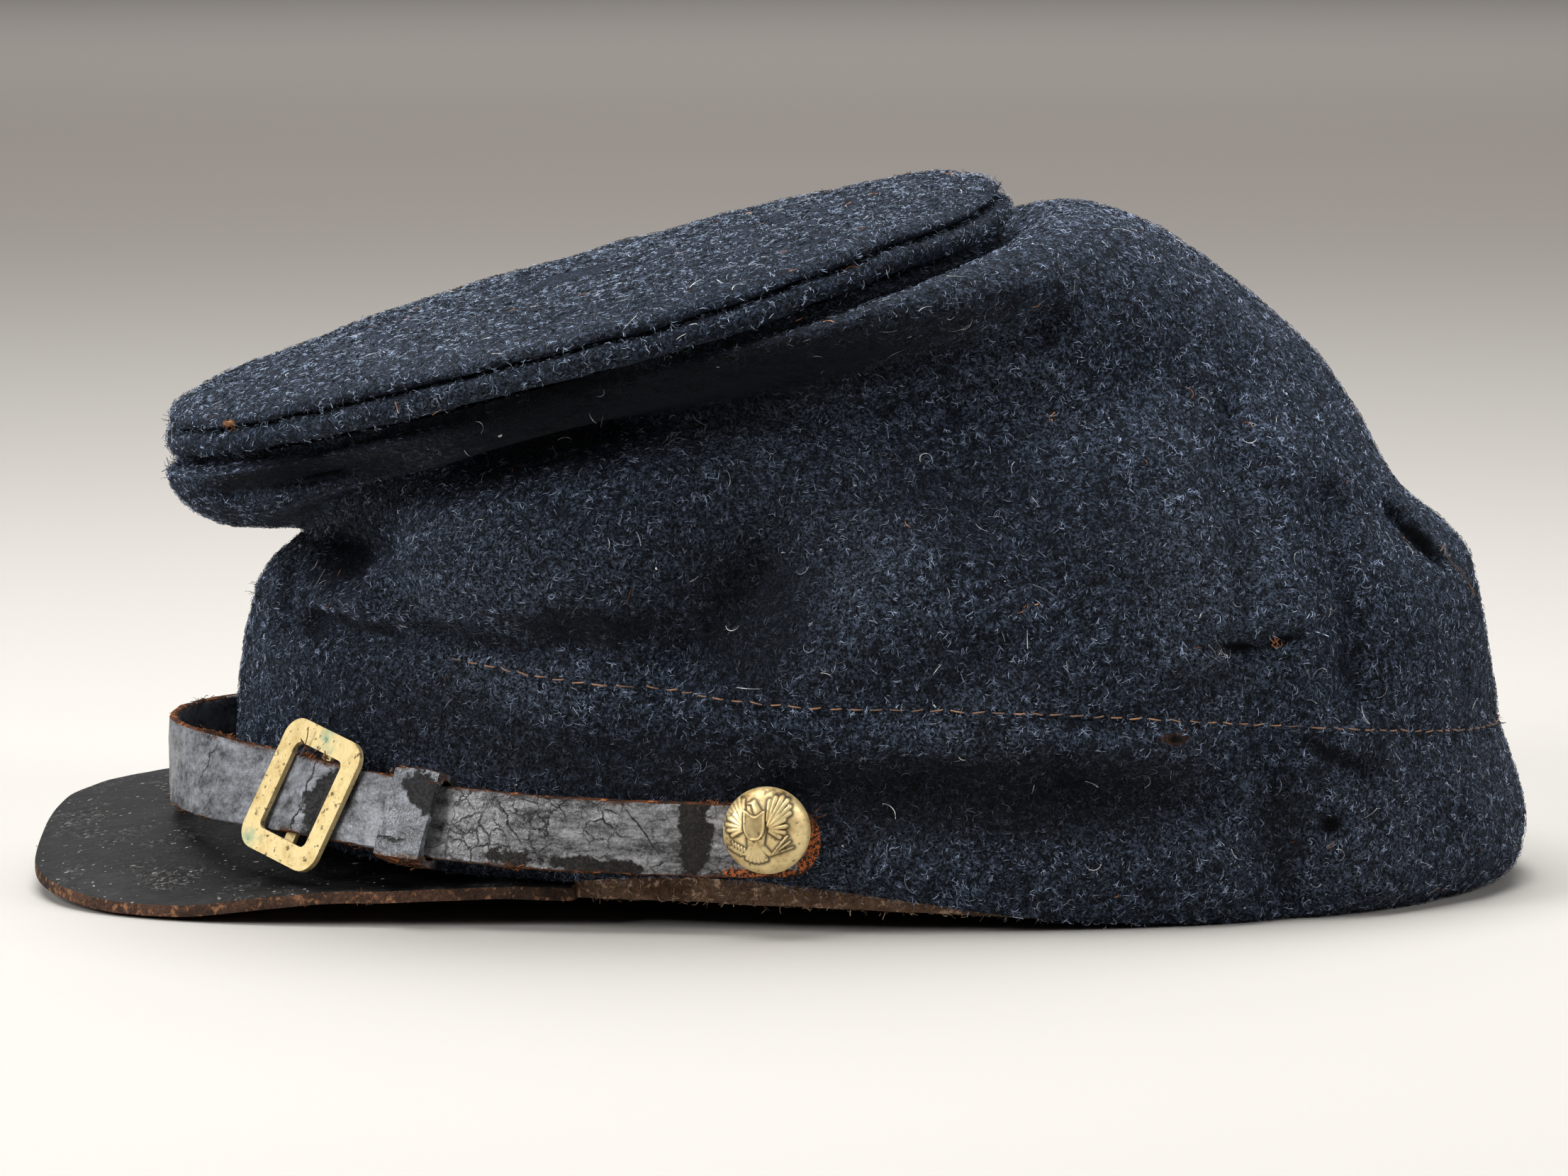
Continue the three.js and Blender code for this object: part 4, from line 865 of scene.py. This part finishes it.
# painted shade on the keeper's right side and above its diagonal fold
keeper_painted_shade = [
    ((-55.6, -60, 17.0), (1.7, 12, 9), 12, "#1b1a1a"),
    ((-59.0, -60, 22.0), (4.6, 12, 2.4), 40, "#232427"),
]
inner_black = strap_leather("inner_strap_glaze", "#29292b", "#a3a3a6", 0.34, 1.0, inner_splits, inner_bare)
outer_black = strap_leather("outer_strap_glaze", "#36373b", "#8e9198", 0.34, 0.1, outer_splits, outer_painted_shade)
keeper_black = strap_leather("keeper_glaze", "#222326", "#777c84", 0.26, 0.12, keeper_splits, keeper_painted_shade)
strap_folds = [
    # name, node, route of x and z, width, push out, in millimetres
    ("crease in the buckle's window", "strap_outer", [(-82, 13), (-76.5, 28)], 2.0, 0.9),
    ("diagonal fold of the keeper", "keeper", [(-64.2, 22.6), (-58.3, 17.6)], 0.9, -0.45),
    ("keeper's lit belly", "keeper", [(-64.5, 17.5), (-60, 13.5)], 3.0, 0.5),
]
strap_pieces = []
for node, finish in [("strap_inner", inner_black), ("strap_outer", outer_black), ("keeper", keeper_black)]:
    strap_shape = smoothed(cad_shape(node), 0.9)
    strap_tree = BVHTree.FromBMesh(strap_shape)
    bends = [bend_along([strap_tree], -1, *fold) for name, of, *fold in strap_folds if of == node]
    folded(strap_shape, bends)
    for corner in strap_shape.verts:
        corner.co += corner.normal * 0.00022 * bumps(corner.co, 230, 3)
    with_cut_edges(strap_shape, steepness=0.62)
    strap_pieces.append(
        place_piece(strap_shape, node + "_leather", [finish, raw_edge], [node])
    )


def torn_edges(centres, normals, marks):
    """Only the cut edges, in clumps some millimetres apart."""
    clumps = np.array([noise.noise(Vector(centre) * 170) for centre in centres])
    return (marks == 1) * np.clip(clumps - 0.1, 0.004, 1) ** 2


def low_edge(centres, normals, marks):
    """Only the bottom nine millimetres of the sweatband, outside."""
    return (centres[:, 2] < 0.009) * outer_faces(centres, normals, marks)


orange_fibre = fibre_material("leather_fibre", "#3f2415", "#9a6138", [])
tan_fibre = fibre_material("sweatband_fibre", "#7a604c", "#dcc6aa", [])
frays = {"thickness": 0.00012, "curl": 1.5, "lift": 0.0005, "points": 3}
for name, pieces, count, length, fibre, slot, seed, shares in [
    ("strap_frays", strap_pieces, 1500, 0.0009, orange_fibre, "strap_leather", 31, torn_edges),
    ("peak_frays", [peak], 700, 0.0007, orange_fibre, "peak_leather", 32, torn_edges),
    ("sweatband_frays", [sweatband], 7000, 0.001, tan_fibre, "brown_leather", 33, low_edge),
]:
    strewn(name, pieces, count, length, material=fibre, slot=slot, seed=seed, shares=shares, **frays)
strap_surface = surface_of(strap_pieces)
strand_width = 0.00024
for name, place, number, length in [
    ("fibres_by_the_buckle", (-84.0, -50.5, 29.5), 6, 3.2),
    ("second_fibres_by_the_buckle", (-81.5, -52.5, 29.0), 5, 2.2),
    ("fibres_in_the_buckle", (-77.2, -55.5, 28.2), 5, 1.2),
    ("fibres_at_the_keeper", (-67.0, -60.0, 26.0), 6, 0.8),
    ("fibres_behind_the_keeper", (-54.0, -67.5, 24.5), 6, 0.9),
    ("fibres_under_the_keeper", (-60.0, -65.5, 9.8), 6, 0.9),
    ("point_of_the_strap_end", (6.6, -72.6, 21.0), 12, 1.6),
]:
    drawn = np.random.default_rng(number + len(name))
    centre = strap_surface.find_nearest(0.001 * Vector(place))[0]
    upwards = Vector((0, 0, 0.9 if length > 2 else 0.2))  # the long ones stand up
    lean = 0.1 * outward_at(centre)
    routes = strands(drawn, number, centre, 0.00035, upwards, 0.45, lean, 0.3, length)
    ribbons(name, routes, drawn.uniform(0, 3, number), strand_width, orange_fibre)

# Buckle
# A frame stamped from sheet brass, with a bar behind it. Its gilding has gone, and it is pale
# and pitted, with green salts in two corners where the strap held damp against it.


def aged_brass(name, bright, dull, spots, greens, roughness):
    """Sheet brass dulled by air: a soft even polish, brown stains, dark pits a third of a
    millimetre across, verdigris round some places, and dirt where the piece says so."""
    made, tree = new_material(name)
    place = add_node(tree, "TexCoord", output="Object")
    stain = add_node(tree, "TexNoise", {"Vector": place, "Scale": 260, "Detail": 4, "Roughness": 0.65})
    fleck = add_node(tree, "TexNoise", {"Vector": place, "Scale": 1000, "Detail": 2, "Roughness": 0.5})
    blot = add_node(tree, "TexNoise", {"Vector": place, "Scale": 520, "Detail": 2, "Roughness": 0.6})
    browned = add_node(tree, "MapRange", {"Value": stain, "From Min": 0.45, "From Max": 0.72})
    small = add_node(tree, "MapRange", {"Value": fleck, "From Min": 0.63, "From Max": 0.7, "To Max": spots})
    large = add_node(tree, "MapRange", {"Value": blot, "From Min": 0.66, "From Max": 0.72, "To Max": spots})
    pits = add_node(tree, "Math", {0: small, 1: large}, operation="MAXIMUM")
    dirt = add_node(tree, "Attribute", output="Fac", attribute_name="dirt")
    colour = linear(bright)
    for share, code in [(browned, dull), (pits, "#4a3722"), (dirt, "#2a1b0a")]:
        colour = add_node(tree, "Mix", {0: share, 6: colour, 7: linear(code)}, 2, data_type="RGBA")
    metal = add_node(tree, "MapRange", {"Value": pits, "To Min": 0.5, "To Max": 0.3})
    for centre, radius in greens:
        reach = add_node(tree, "VectorMath", {0: place, 1: centre}, "Value", operation="DISTANCE")
        crust = add_node(tree, "Math", {0: stain, 1: -2.2 * radius, 2: reach}, operation="MULTIPLY_ADD")
        edge = {"Value": crust, "From Min": 0.1 * radius, "From Max": -0.5 * radius, "To Max": 0.75}
        green = add_node(tree, "MapRange", edge)
        colour = add_node(tree, "Mix", {0: green, 6: colour, 7: linear("#6f9c85")}, 2, data_type="RGBA")
        metal = add_node(tree, "Math", {0: metal, 1: green}, operation="SUBTRACT", use_clamp=True)
    bump = add_node(tree, "Bump", {"Height": fleck, "Strength": 0.25, "Distance": 0.0002}, invert=True)
    finish = {"Value": stain, "To Min": roughness - 0.15, "To Max": roughness + 0.35}
    rough = add_node(tree, "MapRange", finish)
    finish = {"Base Color": colour, "Metallic": metal, "Roughness": rough, "Normal": bump}
    add_node(tree, "OutputMaterial", {"Surface": add_node(tree, "BsdfPrincipled", finish)})
    return made


# Where the green salts are, and how far they reach, in metres
greens = [((-0.0770, -0.0522, 0.0300), 0.0038), ((-0.0872, -0.0450, 0.0115), 0.0032)]
buckle_finish = aged_brass("buckle_sheet_brass", "#e3cd96", "#b99f67", 0.85, greens, 0.42)
buckle_shape = cad_shape("buckle")
# The bars of the real frame are broader than the CAD's: the outline of its two longer bars is let
# out, and its window is let in. The bar in the middle and the ends of the outline stay.
window_reach = (0.0092, 0.0074)  # the outline lies past this along or across the frame
middle_bar, ends = 0.0015, 0.003  # how far these reach across the frame
let_out = 0.0011
let_in = (0.0006, 0.0003)  # along and across the frame
corners = np.array([corner.co for corner in buckle_shape.verts])
middle = (corners.max(0) + corners.min(0)) / 2
thin_way, short_way, long_way = np.linalg.eigh(np.cov((corners - middle).T))[1].T
along, across = Vector(long_way), Vector(short_way)
for corner in buckle_shape.verts:
    long, wide = [(corner.co - Vector(middle)).dot(way) for way in (along, across)]
    outline = abs(long) > window_reach[0] or abs(wide) > window_reach[1]
    if outline and abs(wide) > ends:
        corner.co += across * math.copysign(let_out, wide)
    if not outline and abs(wide) > middle_bar:
        corner.co -= across * math.copysign(let_in[1], wide)
        corner.co -= along * math.copysign(let_in[0], long)
sharp = [edge for edge in buckle_shape.edges if edge.calc_face_angle(0) > math.radians(30)]
bmesh.ops.bevel(
    buckle_shape,
    geom=sharp,
    affect="EDGES",
    offset=0.00018,
    segments=2,
    profile=0.5,
    material=-1,
    clamp_overlap=True,
)
buckle = place_piece(buckle_shape, "buckle_brass", [buckle_finish], ["buckle"])
for face in buckle.data.polygons:
    face.use_smooth = False

# Buttons
# Each is a domed shell of gilt brass, stamped with a spread eagle that holds a plain shield, and
# closed over a back with a shank. Gilding is left on the high places and dirt in the low ones.
shell_rim = 0.0012
shell_dome = 0.0034
shell_relief = 0.00036
button_depth = 0.0050  # from the shell's back to the top of its relief
shank_length = 0.0033
shank_radius = 0.0012
dome_rows, dome_steps = 70, 230  # faces from rim to top and round the button, for the eagle's lines
body_strokes = [
    # start x, start y, end x, end y, start width, end width, height, as shares of the radius
    (-0.17, 0.50, -0.26, 0.68, 0.10, 0.08, 0.9),
    (-0.26, 0.68, -0.40, 0.66, 0.06, 0.02, 0.8),
    (-0.20, -0.30, -0.18, 0.10, 0.20, 0.24, 0.7),
    (-0.30, -0.35, -0.42, -0.50, 0.08, 0.06, 0.8),
    (-0.02, -0.35, 0.12, -0.48, 0.08, 0.06, 0.8),
]


def eagle_strokes():
    """The eagle as tapered strokes: body, rows of feathers on two wings, tail, arrows, branch."""
    strokes = list(body_strokes)
    for side in (-1, 1):
        shoulder = np.array((-0.2 + 0.24 * side, 0.10))
        for length, first, last, inset, tall in [(0.60, 34, 84, 0.20, 0.8), (0.36, -30, 66, 0.10, 1.0)]:
            for i in range(6):
                lean = math.radians(first + (last - first) * i / 5)
                way = np.array((side * math.cos(lean), math.sin(lean)))
                inner = shoulder + way * inset
                tip = inner + way * length * (0.72 + 0.28 * math.sin(math.pi * i / 5))
                strokes.append((*inner, *tip, 0.04, 0.055, tall))
    for i in range(6):
        lean = math.radians(-122 + 62 * i / 5)
        tip = np.array((-0.18, -0.24)) + 0.42 * np.array((math.cos(lean), math.sin(lean)))
        strokes.append((-0.18, -0.24, *tip, 0.04, 0.06, 0.9))
    for i in range(3):
        strokes.append((0.16, -0.50, 0.52 + 0.06 * i, -0.06 - 0.13 * i, 0.015, 0.03, 0.8))
    for i in range(5):
        root = np.array((-0.44 - 0.07 * i, -0.50 + 0.035 * i))
        for lean in (100, 185):
            way = np.array((math.cos(math.radians(lean)), math.sin(math.radians(lean))))
            strokes.append((*root, *(root + 0.12 * way), 0.02, 0.04, 0.8))
    return strokes


def eagle_relief(across, up):
    """How far the eagle stands off the dome at places on it, as a share of its full relief, and
    how much dirt is left beside it."""
    height = np.zeros_like(across)
    beside = np.full_like(across, 1.0)
    for x0, y0, x1, y1, w0, w1, tall in eagle_strokes():
        run = np.array((x1 - x0, y1 - y0))
        share = np.clip(((across - x0) * run[0] + (up - y0) * run[1]) / (run @ run), 0, 1)
        reach = np.hypot(across - x0 - share * run[0], up - y0 - share * run[1])
        width = w0 + share * (w1 - w0)
        height = np.maximum(height, tall * np.sqrt(np.clip(1 - (reach / width) ** 2, 0, 1)))
        beside = np.minimum(beside, np.abs(reach - width))
    x, y = (across + 0.24) / 0.25, (up - 0.16) / 0.29
    sides = np.abs(x) - np.where(y > 0, 1.0, np.sqrt(np.clip(1 - (y / 1.15) ** 2, 0, 1)))
    sides = np.maximum(sides, -1.15 - y)
    edge = np.maximum(sides, y - 1.0 + 0.22 * np.cos(x * math.pi) * (np.abs(x) < 1))
    border = np.exp(-(((edge + 0.1) / 0.09) ** 2))
    height = np.where(edge < 0, 0.45 + 0.55 * border, height)
    dirt = np.exp(-((beside / 0.05) ** 2)) * (1 - height)
    dirt = np.where(edge < 0, 0.45 * (1 - border), np.maximum(dirt, np.exp(-(((edge - 0.05) / 0.1) ** 2))))
    return height, 0.95 * dirt


button_finish = aged_brass("button_gilt_brass", "#f8e0a6", "#bb9a60", 0.6, [], 0.36)
for node, side in [("button_left", -1), ("button_right", 1)]:
    low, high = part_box(node)
    centre = (low + high) / 2
    radius = (high.z - low.z) / 2
    out = outward_at(centre)
    corners = [corner.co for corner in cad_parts[node].data.vertices]
    front = max((corner - centre).dot(out) for corner in corners)
    base = centre + (front - button_depth) * out
    up = Vector((0, 0, 1))
    across = up.cross(out).normalized()
    turn = Matrix((across, up, out)).transposed()
    button = bmesh.new()
    profile = [(0, 0), (0.86 * radius, 0), (0.95 * radius, 0.0001), (radius, 0.0004), (radius, 0.0009)]
    for i in range(dome_rows + 1):
        lean = i / dome_rows * math.pi / 2
        profile.append((radius * math.cos(lean), shell_rim + shell_dome * math.sin(lean)))
    ring = [button.verts.new(turn @ Vector((r, 0, h)) + base) for r, h in profile]
    edges = [button.edges.new(pair) for pair in zip(ring, ring[1:])]
    whole = {"angle": 2 * math.pi, "steps": dome_steps, "use_merge": True}
    bmesh.ops.spin(button, geom=ring + edges, cent=base, axis=out, **whole)
    bmesh.ops.remove_doubles(button, verts=button.verts[:], dist=1e-6)
    bmesh.ops.create_cone(
        button,
        cap_ends=True,
        segments=16,
        radius1=shank_radius,
        radius2=shank_radius,
        depth=shank_length,
        matrix=Matrix.Translation(base - 0.5 * shank_length * out) @ turn.to_4x4(),
    )
    bmesh.ops.recalc_face_normals(button, faces=button.faces[:])
    sideways = np.array([(corner.co - base) @ across for corner in button.verts]) / radius
    upwards = np.array([(corner.co - base) @ up for corner in button.verts]) / radius
    relief, dirt = eagle_relief(sideways, upwards)
    layer = button.verts.layers.float.new("dirt")
    for corner, raised, soiled in zip(button.verts, relief, dirt):
        if (corner.co - base).dot(out) > shell_rim + 0.0001:
            corner.co += out * shell_relief * raised
            corner[layer] = soiled
    place_piece(button, node + "_brass", [button_finish], [node])
